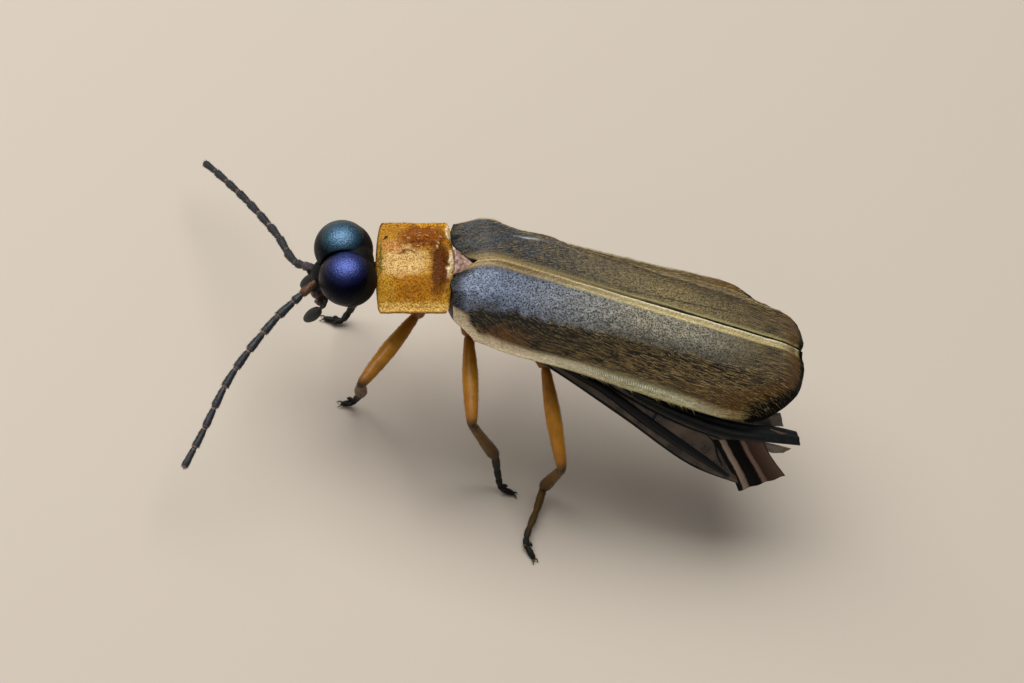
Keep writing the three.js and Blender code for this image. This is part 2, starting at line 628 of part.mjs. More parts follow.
// Legs: places of coxa, hip, knee, ankle and the way of the foot, in the body's frame.
const LEGS = {
  fore_left: {
    coxa: [-0.42, -0.3, 3.85], hip: [-0.3, -0.36, 3.47], knee: [-1.32, -1.94, 2.68],
    ankle: [-0.82, -1.17, 1.13],
    foot: [[-0.68, -0.88, 0.45], [-0.72, -0.84, 0.14], [-0.9, -0.86, 0.1]],
  },
  fore_right: {
    coxa: [-0.42, 0.3, 3.85], hip: [-0.3, 0.36, 3.47], knee: [-0.68, 1.6, 2.8], ankle: [-0.94, 1.3, 1.1],
    foot: [[-0.88, 1.42, 0.3], [-1, 1.28, 0.13], [-1.36, 1.3, 0.1]],
  },
  mid_left: {
    coxa: [0.8, -0.42, 3.75], hip: [0.91, -0.55, 3.4], knee: [1.17, -2.6, 2.92], ankle: [2.29, -2.26, 1.3],
    foot: [[2.66, -2.3, 0.5], [2.86, -2.34, 0.16], [3.17, -2.38, 0.1]],
  },
  mid_right: {
    coxa: [0.8, 0.42, 3.75], hip: [0.91, 0.55, 3.4], knee: [1.7, 2.35, 2.85], ankle: [2.3, 2.5, 1.15],
    foot: [[2.55, 2.7, 0.45], [2.75, 2.85, 0.16], [3.05, 3.05, 0.1]],
  },
  hind_left: {
    coxa: [2.3, -0.45, 3.6], hip: [2.8, -0.8, 3.12], knee: [3.57, -2.8, 2.13], ankle: [3.77, -2.28, 0.42],
    foot: [[3.68, -2.76, 0.22], [3.45, -3.6, 0.14], [3.66, -3.96, 0.1]],
  },
  hind_right: {
    coxa: [2.3, 0.45, 3.6], hip: [2.8, 0.8, 3.12], knee: [3.9, 2.6, 2.4], ankle: [4.6, 2.7, 0.55],
    foot: [[4.75, 3, 0.25], [5, 3.55, 0.14], [5.12, 3.95, 0.1]],
  },
};
const FLOOR_CUT = block([-20, -20, -5], [20, 20, 0]);

function femurSolid(leg, grow = 0) {
  const radius = FEMUR_THICKNESS / 2;
  const coxa = limb([leg.coxa, leg.hip], (t) => 0.27 - 0.05 * t + grow, 2, LEG_SIDES, [40]);
  const shape = [[0, 0.62], [0.12, 0.8], [0.45, 1.04], [0.8, 0.9], [1, 0.8]];
  const femur = limb([leg.hip, leg.knee], (t) => radius * profile(shape, t) + grow, 5, LEG_SIDES);
  return coxa.add(femur);
}

function shinSolid(leg, grow = 0) {
  const radius = SHIN_THICKNESS / 2;
  const shape = [[0, 0.8], [0.25, 0.95], [0.75, 1], [1, 0.9]];
  return limb([leg.knee, leg.ankle], (t) => radius * profile(shape, t) + grow, 4, LEG_SIDES);
}

// Foot: five short segments, the fourth with two broad pads, and a pair of claws.
function footSolid(leg) {
  const radius = FOOT_THICKNESS / 2;
  const thickness = (t) => radius * (Math.round(t * 10) % 2 === 0 ? 0.78 : 1) * (t > 0.75 ? 0.75 : 1);
  let foot = limb([leg.ankle, ...leg.foot], thickness, 10, 7, [40]);
  const way = [leg.ankle, ...leg.foot].map((p) => v3(...p));
  const curve = new THREE.CatmullRomCurve3(way, false, 'centripetal');
  const pad = curve.getPointAt(0.74);
  const tip = curve.getPointAt(1);
  const ahead = curve.getTangentAt(1).setZ(0).normalize();
  const aside = v3(-ahead.y, ahead.x, 0);
  for (const side of [-1, 1]) {
    const lobe = pad.clone().addScaledVector(aside, side * 0.12).addScaledVector(ahead, 0.1);
    foot = foot.add(egg([lobe.x, lobe.y, 0.08], [0.15, 0.15, 0.13], 7, 5));
    const bend = tip.clone().addScaledVector(aside, side * 0.12).addScaledVector(ahead, 0.06);
    const claw = tip.clone().addScaledVector(aside, side * 0.12).addScaledVector(ahead, 0.16);
    const places = [tip.toArray(), [bend.x, bend.y, 0.1], [claw.x, claw.y, 0.05]];
    foot = foot.add(limb(places, (t) => 0.07 - 0.035 * t, 2, 5, []));
  }
  return foot.subtract(FLOOR_CUT);
}

for (const [name, leg] of Object.entries(LEGS)) {
  const trunk = name.startsWith('fore') ? foreThoraxGrown : thoraxGrown;
  firefly.add(
    piece(`${name}_femur`, femurSolid(leg).subtract(trunk), FINISH.femur),
    piece(`${name}_tibia`, shinSolid(leg).subtract(femurSolid(leg, GAP)), FINISH.shin),
    piece(`${name}_tarsus`, footSolid(leg).subtract(shinSolid(leg, GAP)), FINISH.foot),
  );
}

export default firefly;
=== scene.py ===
# %% [markdown]
# # Dressing a firefly
# A male firefly is about eleven millimetres long: two big eyes under a flat orange shield, two soft
# dark wing cases with cream edges, and amber legs. This lesson loads the solids of the part and
# lays a finer, thinner model of the real insect over them, piece by piece, in the same place and at
# the same size.

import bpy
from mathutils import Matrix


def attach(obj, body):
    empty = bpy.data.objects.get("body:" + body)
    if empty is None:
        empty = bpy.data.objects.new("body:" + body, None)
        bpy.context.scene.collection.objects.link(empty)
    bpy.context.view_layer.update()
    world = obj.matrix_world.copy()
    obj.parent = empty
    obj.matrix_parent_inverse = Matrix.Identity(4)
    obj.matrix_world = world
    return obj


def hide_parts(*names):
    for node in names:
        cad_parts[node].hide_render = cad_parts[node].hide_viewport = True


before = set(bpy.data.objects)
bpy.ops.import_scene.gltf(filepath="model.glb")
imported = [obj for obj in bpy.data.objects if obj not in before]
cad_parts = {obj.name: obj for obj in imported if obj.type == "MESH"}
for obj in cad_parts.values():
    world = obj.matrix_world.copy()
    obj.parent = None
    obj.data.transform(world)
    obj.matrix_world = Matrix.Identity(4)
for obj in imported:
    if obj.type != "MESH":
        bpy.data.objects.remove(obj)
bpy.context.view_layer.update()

import math
from functools import partial

import bpy
import numpy as np
from mathutils import Matrix, Vector

MM = 0.001

# %% [markdown]
# ## Places on the insect
# The body hangs together from three tilted parts: the fore body with the shield, the head that
# turns on it, and the back that carries the wing cases. One matrix for each lets every piece be
# drawn level and straight, as it would be on paper, and then be tilted as a whole. All sizes are in
# millimetres.

# %% Matrices of the body's parts
BODY = Matrix.Translation((-1.937, 0.098, 0))
FORE = BODY @ Matrix.Translation((-0.085, 0.03, 4.85)) @ Matrix.Rotation(math.radians(-20), 4, "Y")
HEAD = FORE @ Matrix.Translation((-2.24, 0, 0.23)) @ Matrix.Rotation(math.radians(6), 4, "Z")
BACK = BODY @ Matrix.Translation((0, 0, 5.74)) @ Matrix.Rotation(math.radians(8.6), 4, "Y")


def moved(matrix, points):
    """Points of any grid shape, moved by a matrix."""
    turn = np.array(matrix)
    return np.asarray(points, float) @ turn[:3, :3].T + turn[:3, 3]


def profile(points, x):
    """Smooth values between the points (x, value) of a short profile, flat beyond its ends."""
    xs, ys = np.array(points, float).T
    slopes = np.empty_like(ys)
    slopes[1:-1] = (ys[2:] - ys[:-2]) / (xs[2:] - xs[:-2])
    slopes[0] = (ys[1] - ys[0]) / (xs[1] - xs[0])
    slopes[-1] = (ys[-1] - ys[-2]) / (xs[-1] - xs[-2])
    x = np.clip(x, xs[0], xs[-1])
    i = np.clip(np.searchsorted(xs, x) - 1, 0, len(xs) - 2)
    span = xs[i + 1] - xs[i]
    t = (x - xs[i]) / span
    start, end = span * slopes[i], span * slopes[i + 1]
    return ((2 * t**3 - 3 * t**2 + 1) * ys[i] + (t**3 - 2 * t**2 + t) * start
            + (3 * t**2 - 2 * t**3) * ys[i + 1] + (t**3 - t**2) * end)


def smooth_path(points, count):
    """A smooth line of count points through a few given ones."""
    points = np.array(points, float)
    chord = np.r_[0, np.cumsum(np.linalg.norm(np.diff(points, axis=0), axis=1))]
    at = np.linspace(0, chord[-1], count)
    return np.stack([profile(np.c_[chord, column], at) for column in points.T], -1)


print("head centre in mm:", [round(v, 2) for v in HEAD.translation])

# %% [markdown]
# ## Shapes from grids
# Almost every part of an insect is either a thin curved plate or a tapering tube. A plate is two
# grids of points with a rim between them; a tube is rings along a line. Building both from NumPy
# arrays keeps the shapes exact, closed and quick, and lets each point carry where it lies on the
# plate (the "lay" map) and which way its hairs lie.


# %% Plates
def sheet(top, bottom, lie=None, **marks):
    """Closed thin plate between two grids of points; marks are extra values for each grid point."""
    rows, columns = top.shape[:2]
    layer = rows * columns
    index = np.arange(layer).reshape(rows, columns)
    corners = [index[:-1, :-1], index[1:, :-1], index[1:, 1:], index[:-1, 1:]]
    quads = np.stack(corners, -1).reshape(-1, 4)
    rim = np.concatenate([index[0, :-1], index[:-1, -1], index[-1, :0:-1], index[:0:-1, 0]])
    after = np.roll(rim, -1)
    wall = np.stack([rim, after, after + layer, rim + layer], -1)
    u, s = np.meshgrid(np.linspace(0, 1, rows), np.linspace(0, 1, columns), indexing="ij")
    marks.setdefault("coat", np.ones((rows, columns)))
    lie = np.gradient(top, axis=0) if lie is None else lie
    shape = {
        "points": np.concatenate([top.reshape(-1, 3), bottom.reshape(-1, 3)]),
        "quads": np.concatenate([quads, quads[:, ::-1] + layer, wall]),
        "tris": np.empty((0, 3), int),
        "lay": np.tile(np.stack([u, s], -1).reshape(-1, 2), (2, 1)),
        "lie": np.tile(lie.reshape(-1, 3), (2, 1)),
    }
    for name, value in marks.items():
        below = 0 * value if "coat" in name else value
        shape[name] = np.concatenate([value.ravel(), below.ravel()])
    return shape


# %% Tubes and balls
def rings_body(rings):
    """Closed body through rings of points, with a fan at each end."""
    count, sides = rings.shape[:2]
    index = np.arange(count * sides).reshape(count, sides)
    beside = np.roll(index, -1, axis=1)
    ends = np.full(sides, count * sides)
    t, turn = np.meshgrid(np.linspace(0, 1, count), np.arange(sides) / sides, indexing="ij")
    lie = np.gradient(rings.mean(1), axis=0)
    return {
        "points": np.concatenate([rings.reshape(-1, 3), rings[:1].mean(1), rings[-1:].mean(1)]),
        "quads": np.stack([index[:-1], index[1:], beside[1:], beside[:-1]], -1).reshape(-1, 4),
        "tris": np.concatenate([np.stack([ends, index[0], beside[0]], -1),
                                np.stack([ends + 1, beside[-1], index[-1]], -1)]),
        "lay": np.concatenate([np.stack([t, turn], -1).reshape(-1, 2), [[0, 0.5], [1, 0.5]]]),
        "lie": np.concatenate([np.repeat(lie, sides, axis=0), lie[:1], lie[-1:]]),
        "coat": np.ones(count * sides + 2),
    }


def tube(path, radii, sides):
    """Closed tube along a path; each ring's first direction is turned from the one before."""
    path = np.asarray(path, float)
    radii = np.broadcast_to(radii, len(path))
    tangent = np.gradient(path, axis=0)
    tangent /= np.linalg.norm(tangent, axis=1)[:, None]
    normals = [np.array((0.0, 0.0, 1.0))]
    for along in tangent:
        normal = normals[-1] - along * (normals[-1] @ along)
        normals.append(normal / np.linalg.norm(normal))
    normal = np.array(normals[1:])
    aside = np.cross(tangent, normal)
    angle = np.arange(sides) / sides * 2 * np.pi
    cosine, sine = np.cos(angle)[None, :, None], np.sin(angle)[None, :, None]
    ring = normal[:, None] * cosine + aside[:, None] * sine
    return rings_body(path[:, None] + ring * radii[:, None, None])


def ball(centre, radii, columns=40, rows=24):
    """Closed egg-shaped body."""
    tilt = np.linspace(0.06, np.pi - 0.06, rows)
    angle = np.arange(columns) / columns * 2 * np.pi
    ring = np.stack([np.sin(tilt)[:, None] * np.cos(angle), np.sin(tilt)[:, None] * np.sin(angle),
                     np.repeat(np.cos(tilt)[:, None], columns, 1)], -1)
    return rings_body(ring * np.array(radii) + np.array(centre))


# %% From shapes to objects
def joined(*shapes):
    """Several closed shapes as one."""
    starts = np.cumsum([0] + [len(shape["points"]) for shape in shapes])
    made = {}
    for key in shapes[0]:
        shift = starts if key in ("quads", "tris") else np.zeros(len(starts), int)
        made[key] = np.concatenate([shape[key] + start for shape, start in zip(shapes, shift)])
    return made


def placed(matrix, shape):
    """A shape moved by a matrix."""
    turn = np.array(matrix)[:3, :3]
    return {**shape, "points": moved(matrix, shape["points"]), "lie": shape["lie"] @ turn.T}


def piece(name, shape, material):
    """An object at the origin from a shape in millimetres, its faces outwards."""
    points = shape["points"] * MM
    tris = np.concatenate([shape["tris"], shape["quads"][:, [0, 1, 2]], shape["quads"][:, [0, 2, 3]]])
    a, b, c = [points[tris[:, k]] for k in range(3)]
    turn = -1 if np.einsum("ij,ij", a, np.cross(b, c)) < 0 else 1
    mesh = bpy.data.meshes.new(name)
    faces = shape["quads"][:, ::turn].tolist() + shape["tris"][:, ::turn].tolist()
    mesh.from_pydata(points.tolist(), [], faces)
    mesh.polygons.foreach_set("use_smooth", np.ones(len(mesh.polygons), bool))
    corner = np.empty(len(mesh.loops), np.int32)
    mesh.loops.foreach_get("vertex_index", corner)
    mesh.uv_layers.new(name="lay").data.foreach_set("uv", shape["lay"].astype(float)[corner].ravel())
    mesh.attributes.new("lie", "FLOAT_VECTOR", "POINT").data.foreach_set("vector", shape["lie"].ravel())
    for key in set(shape) - {"points", "quads", "tris", "lay", "lie"}:
        mesh.attributes.new(key, "FLOAT", "POINT").data.foreach_set("value", shape[key].astype(float))
    mesh.materials.append(material)
    made = bpy.data.objects.new(name, mesh)
    bpy.context.scene.collection.objects.link(made)
    return made


def dress(made, slot, *nodes):
    """Hands a finished piece to the frame."""
    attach(made, "root")
    if nodes:
        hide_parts(*nodes)
    print(f"{made.name}: {len(made.data.polygons)} faces")
    return made


print("shape helpers ready")

# %% [markdown]
# ## Materials
# Insect shell is cuticle: a hard, slightly translucent protein with a thin waxy layer that shines.
# Its colour lies inside it, so each finish is a Principled shader with an index of refraction near
# 1.55, a roughness taken from how smooth or hairy the part is, and patterns sized in real
# millimetres.


# %% Colour and node helpers
RAMP, MIX = "ShaderNodeValToRGB", "ShaderNodeMix"
MATH, VECTOR = "ShaderNodeMath", "ShaderNodeVectorMath"
OVER = {"data_type": "RGBA"}
SHADE = {"data_type": "RGBA", "blend_type": "MULTIPLY"}


def linear(hex_colour):
    """A linear RGBA colour from an sRGB hex value."""
    values = [int(hex_colour[i:i + 2], 16) / 255 for i in (1, 3, 5)]
    return [v / 12.92 if v <= 0.04045 else ((v + 0.055) / 1.055) ** 2.4 for v in values] + [1]


def add_node(tree, kind, *values, out=None, stops=(), **given):
    """Adds a node of any kind and returns one of its outputs. Values go to its open inputs in order, a
    name with a capital is an input, other names are settings, and stops lie on its ramp or graph."""
    made = tree.nodes.new(kind)
    for key, value in given.items():
        if key.islower():
            setattr(made, key, value)
    named = {key.replace("_", " "): value for key, value in given.items() if not key.islower()}
    filled = list(zip([socket for socket in made.inputs if socket.enabled], values))
    for socket, value in filled + [(made.inputs[key], value) for key, value in named.items()]:
        if isinstance(value, bpy.types.NodeSocket):
            tree.links.new(value, socket)
        else:
            socket.default_value = linear(value) if str(value).startswith("#") else value
    if kind == RAMP:
        for stop in stops[2:]:
            made.color_ramp.elements.new(stop[0])
        for element, (place, colour) in zip(made.color_ramp.elements, stops):
            element.position = place
            element.color = linear(colour) if isinstance(colour, str) else (colour, colour, colour, 1)
    elif stops:
        points = made.mapping.curves[0].points
        for stop in stops[1:-1]:
            points.new(*stop)
        for point, stop in zip(points, stops):
            point.location = stop
            point.handle_type = "VECTOR"
        made.mapping.update()
    if out:
        return made.outputs[out]
    return next((socket for socket in made.outputs if socket.enabled), None)


# %% Finish helpers
def finish_of(name, colour, roughness, **sockets):
    """A new material with its own values on its shader; returns it, its add and the shader."""
    material = bpy.data.materials.new(name)
    material.use_nodes = True
    shader = material.node_tree.nodes["Principled BSDF"]
    values = {"Base Color": linear(colour), "Roughness": roughness, "IOR": 1.55}
    values.update({key.replace("_", " "): value for key, value in sockets.items()})
    for key, value in values.items():
        shader.inputs[key].default_value = value
    return material, partial(add_node, material.node_tree), shader


def lay_of(add):
    """The two values of the piece's own map, along it and across it."""
    return add("ShaderNodeSeparateXYZ", add("ShaderNodeUVMap", uv_map="lay")).node.outputs


def grain(add, size_mm, detail=3.0):
    """Fine noise whose lumps are about size_mm across."""
    where = add("ShaderNodeTexCoord", out="Object")
    return add("ShaderNodeTexNoise", Vector=where, Scale=1 / (size_mm * MM), Detail=detail)


def cells(add, size_mm):
    """Rounded cells about size_mm across; 0 in the middle of each."""
    where = add("ShaderNodeTexCoord", out="Object")
    return add("ShaderNodeTexVoronoi", Vector=where, Scale=1 / (size_mm * MM), out="Distance")


def overlap(add, *masks):
    """Where several masks hold at once."""
    whole = masks[0]
    for mask in masks[1:]:
        whole = add(MATH, whole, mask, operation="MULTIPLY")
    return whole


def layered(add, colour, *layers):
    """Colours laid one over another; each layer is a mask and its colour."""
    for mask, tint in layers:
        colour = add(MIX, mask, colour, tint, **OVER)
    return colour


def painted(add, shader, colour, height, depth_mm, shine=None):
    """Gives the shader its colour, a pattern raised by depth_mm and, where it varies, its shine."""
    links = shader.id_data.links
    links.new(colour, shader.inputs["Base Color"])
    links.new(add("ShaderNodeBump", Height=height, Distance=depth_mm * MM), shader.inputs["Normal"])
    if shine:
        links.new(shine, shader.inputs["Specular IOR Level"])


def speckled(name, dark, light, size_mm, roughness, bump_mm, **sockets):
    """Cuticle with a fine two-tone grain and matching bumps."""
    material, add, shader = finish_of(name, light, roughness, **sockets)
    noise = grain(add, size_mm)
    painted(add, shader, add(RAMP, noise, stops=[(0.32, dark), (0.66, light)]), noise, bump_mm)
    return material


def banded(name, roughness, size_mm, *stops, **sockets):
    """Cuticle whose colour changes along a limb, with fine grain."""
    material, add, shader = finish_of(name, stops[0][1], roughness, **sockets)
    noise = grain(add, size_mm)
    speck = add(RAMP, noise, stops=[(0.3, 0.74), (0.7, 1.0)])
    bands = add(RAMP, lay_of(add)[0], stops=stops)
    painted(add, shader, add(MIX, 1.0, bands, speck, **SHADE), noise, 0.004)
    return material


print("material helpers ready")

# %% [markdown]
# ### Eye lens
# A compound eye is thousands of tiny clear lenses over black pigment. They are too fine to resolve,
# and give the eye a grainy, satin shine. The lenses are drawn as cells about 0.036 mm wide, a
# little coarser than life. Those that look up shine and carry a painted highlight in their colour,
# violet on the left eye and teal on the right; those lower down are black and dull. The ball's own
# map tells them apart: its first value runs from the top of the eye to the bottom.


# %% Eye finishes
def eye_finish(name, tint, *painted_highlight):
    """Black faceted lens; the stops give its colours from the top of the eye down, a painted highlight
    on the upper lenses that fades to black.
    """
    material, add, shader = finish_of(name, painted_highlight[0][1], 0.32, IOR=1.8, Specular_Tint=linear(tint))
    down = lay_of(add)[0]
    lens = cells(add, 0.036)
    facet = add(RAMP, lens, stops=[(0.15, 1.0), (0.7, 0.35)])
    colour = add(MIX, 1.0, add(RAMP, down, stops=painted_highlight), facet, **SHADE)
    painted(add, shader, colour, lens, -0.008, add(RAMP, down, stops=[(0.1, 0.9), (0.28, 0.06)]))
    return material


# painted highlight: the upper lenses' colours stand in for the shine of the light, violet on the left
# eye and teal on the right
EYE_NEAR = eye_finish("violet_black_eye_lens", "#8fa0ff", (0.05, "#3f4a86"), (0.14, "#2a3268"),
                      (0.22, "#0e1030"), (0.32, "#030309"), (0.45, "#010103"))
EYE_FAR = eye_finish("teal_black_eye_lens", "#a3d1ff", (0.05, "#36596a"), (0.17, "#254550"),
                     (0.25, "#0c1a20"), (0.35, "#030607"), (0.45, "#010202"))
print("eye finishes ready")

# %% [markdown]
# ### Plain cuticles
# The head is dark brown with a greenish cast, the jaws reddish, the chest chestnut and the belly
# nearly black, and the light organ is the waxy white of a layer of reflecting grains below clear
# skin. The thigh is clear amber with a darker knee, the shin olive brown and the foot black towards
# its end; the hind feet stay olive for most of their length.

# %% Plain finishes
HEAD_SHELL = speckled("dark_brown_head_cuticle", "#010101", "#080705", 0.035, 0.6, 0.02,
                      Specular_IOR_Level=0.15)
MOUTH_SHELL = speckled("reddish_jaw_cuticle", "#1d0f0c", "#5a3a30", 0.06, 0.3, 0.01)
PALP_SHELL = speckled("dark_palp_cuticle", "#101211", "#2e302c", 0.03, 0.6, 0.004)
CHEST_SHELL = speckled("chestnut_chest_cuticle", "#1c110a", "#4b2c16", 0.06, 0.42, 0.008)
BELLY_SHELL = speckled("dark_belly_cuticle", "#140f0a", "#33251a", 0.06, 0.45, 0.008)
LANTERN = speckled("waxy_cream_light_organ", "#c9ba86", "#eee4bd", 0.08, 0.5, 0.006,
                   Subsurface_Weight=0.3, Subsurface_Scale=0.2 * MM)
SCUTELLUM = speckled("pinkish_scutellum_cuticle", "#5a3526", "#c8a490", 0.09, 0.45, 0.02)
VEIN = speckled("black_wing_vein", "#020202", "#0a0907", 0.05, 0.55, 0.005, Specular_IOR_Level=0.25)
HAIR_PALE = finish_of("pale_gold_hair", "#bfa56c", 0.4)[0]
HAIR_GREY = finish_of("grey_silver_hair", "#8e9299", 0.4)[0]
HAIR_DARK = finish_of("dark_hair", "#17140f", 0.5)[0]
HAIR_AMBER = finish_of("amber_hair", "#a87a2e", 0.4)[0]
THIGH = banded("clear_amber_thigh", 0.38, 0.18, (0.0, "#6a3a0e"), (0.12, "#b47212"), (0.5, "#c88614"),
               (0.88, "#a06510"), (0.97, "#3a260c"), Subsurface_Weight=0.2,
               Subsurface_Scale=0.08 * MM, Specular_IOR_Level=0.35)
SHIN = banded("olive_brown_shin", 0.5, 0.05, (0.0, "#2e1f0a"), (0.15, "#745010"), (0.75, "#634310"),
              (1.0, "#2c1f0b"), Specular_IOR_Level=0.2)
FOOT_SHELL = banded("black_hairy_foot_cuticle", 0.6, 0.03, (0.0, "#3c2e14"), (0.2, "#221b10"),
                    (0.5, "#12100c"), (1.0, "#0c0b0a"), Specular_IOR_Level=0.25)
HIND_FOOT = banded("olive_hind_foot_cuticle", 0.6, 0.03, (0.0, "#6b4b14"), (0.55, "#523c13"),
                   (0.72, "#17130c"), (1.0, "#0c0b0a"), Specular_IOR_Level=0.25)
print("plain finishes:", len(bpy.data.materials))

# %% [markdown]
# ### Shield cuticle
# The shield is amber and lets light through, so the flesh below shows as red-brown blotches behind
# its middle and as a golden pool at the near side, while its spread edges are pale yellow with a
# thin brown line. Each zone is a soft patch on the plate's own map, where u runs from front to rear
# and s from the left side to the right, and a noise shakes the map so that the patches have ragged
# outlines.


# %% Shield finish
CRUMPLED = 4  # the patch that lies on the shield's crumpled swelling
SHIELD_PATCHES = [
    # place on the map, size, colour and strength
    ((0.38, 0.5), (0.36, 0.24), "#f0cc88", 1.0),
    ((0.24, 0.68), (0.2, 0.1), "#d69c5c", 0.9),
    ((0.52, 0.22), (0.46, 0.17), "#b87a00", 1.0),
    ((0.15, 0.2), (0.15, 0.13), "#c09022", 0.9),
    ((0.62, 0.8), (0.42, 0.22), "#a55f10", 1.0),
    ((0.62, 0.7), (0.28, 0.05), "#7a3c08", 0.7),
    ((0.84, 0.44), (0.16, 0.33), "#6c3a00", 1.0),
    ((0.4, 0.59), (0.17, 0.024), "#7c3c10", 0.85),
    ((0.14, 0.93), (0.25, 0.1), "#cc9430", 0.9),
    ((0.66, 0.98), (0.42, 0.035), "#e6a51c", 0.9),
    ((0.06, 0.55), (0.03, 0.26), "#656c2c", 0.8),
    ((0.11, 0.79), (0.03, 0.03), "#2a1a0c", 1.0),
    ((0.96, 0.5), (0.05, 0.17), "#f2e0b8", 1.0),
    ((0.98, 0.86), (0.035, 0.12), "#f2e0b8", 1.0),
]


def shield_finish():
    """Amber plate with ragged patches, a pale near margin and a painted highlight of pale glints on its
    crumpled part.
    """
    material, add, shader = finish_of("amber_shield_cuticle", "#cf9420", 0.34, Specular_IOR_Level=0.12)
    lay = add("ShaderNodeUVMap", uv_map="lay")
    noise = grain(add, 0.2, 6.0).node.outputs["Color"]
    drift = add(VECTOR, noise, (0.5, 0.5, 0.5), operation="SUBTRACT")
    shaken = add(VECTOR, drift, (0.16, 0.16, 0.0), lay, operation="MULTIPLY_ADD")
    colour = "#cf9a2c"
    masks = []
    for place, size, tint, strength in SHIELD_PATCHES:
        off = add(VECTOR, shaken, (*place, 0), operation="SUBTRACT")
        reach = add(VECTOR, add(VECTOR, off, (*size, 1), operation="DIVIDE"), operation="LENGTH")
        masks.append(add(RAMP, reach, stops=[(0.6, strength), (1.1, 0.0)]))
        colour = layered(add, colour, (masks[-1], tint))
    along, across = lay_of(add)[:2]
    margin = add(RAMP, across, stops=[(0.0, 0.9), (0.085, 0.9), (0.11, 0.0)])
    line = add(RAMP, across, stops=[(0.0, 0.9), (0.012, 0.8), (0.026, 0.0)])
    front = add(RAMP, along, stops=[(0.0, 0.9), (0.015, 0.7), (0.035, 0.0)])
    edge = add(MATH, line, front, operation="MAXIMUM")
    colour = layered(add, colour, (margin, "#edc56c"), (edge, "#6e430f"))
    fine = grain(add, 0.035, 4.0)
    speck = add(RAMP, fine, stops=[(0.36, "#8a6030"), (0.5, "#e0cda4"), (0.58, "#ffffff")])
    colour = add(MIX, 0.8, colour, speck, **SHADE)
    rugged = grain(add, 0.11, 6.0)
    # painted highlight: pale glints laid into the colour over the crumpled patch
    painted_glint = overlap(add, add(RAMP, rugged, stops=[(0.6, 0.0), (0.7, 0.9)]), masks[CRUMPLED])
    rise = add(MATH, masks[CRUMPLED], 3.0, 1.0, operation="MULTIPLY_ADD")
    height = add(MATH, overlap(add, rugged, rise), fine, operation="ADD")
    painted(add, shader, layered(add, colour, (painted_glint, "#f3d8a6")), height, 0.03)
    return material


SHIELD = shield_finish()
print("made", SHIELD.name)

# %% [markdown]
# ### Wing-case leather
# A firefly's wing case is soft and leathery, pitted all over, with a short hair in each pit. Its
# top is grey, with a slate-blue sheen painted on the shoulder; below a crest that runs back from the
# shoulder its side is nearly black, partly its own dark brown and partly painted shade, then brown;
# the seam and the outer edge are cream and the tip is rimmed with black. Its colours follow marks on
# its mesh: how far out a point lies compared with the crest, which puts the crest at 0.5, and its
# distance in millimetres from the outer edge and from the tip, and on the right case two marks for a
# painted highlight along a wrinkle and painted shade along a groove. One ramp across paints the front
# and another the rear.


# %% Wing-case finish
BEAD_SPACING_MM = 0.07  # on a case 9 mm long


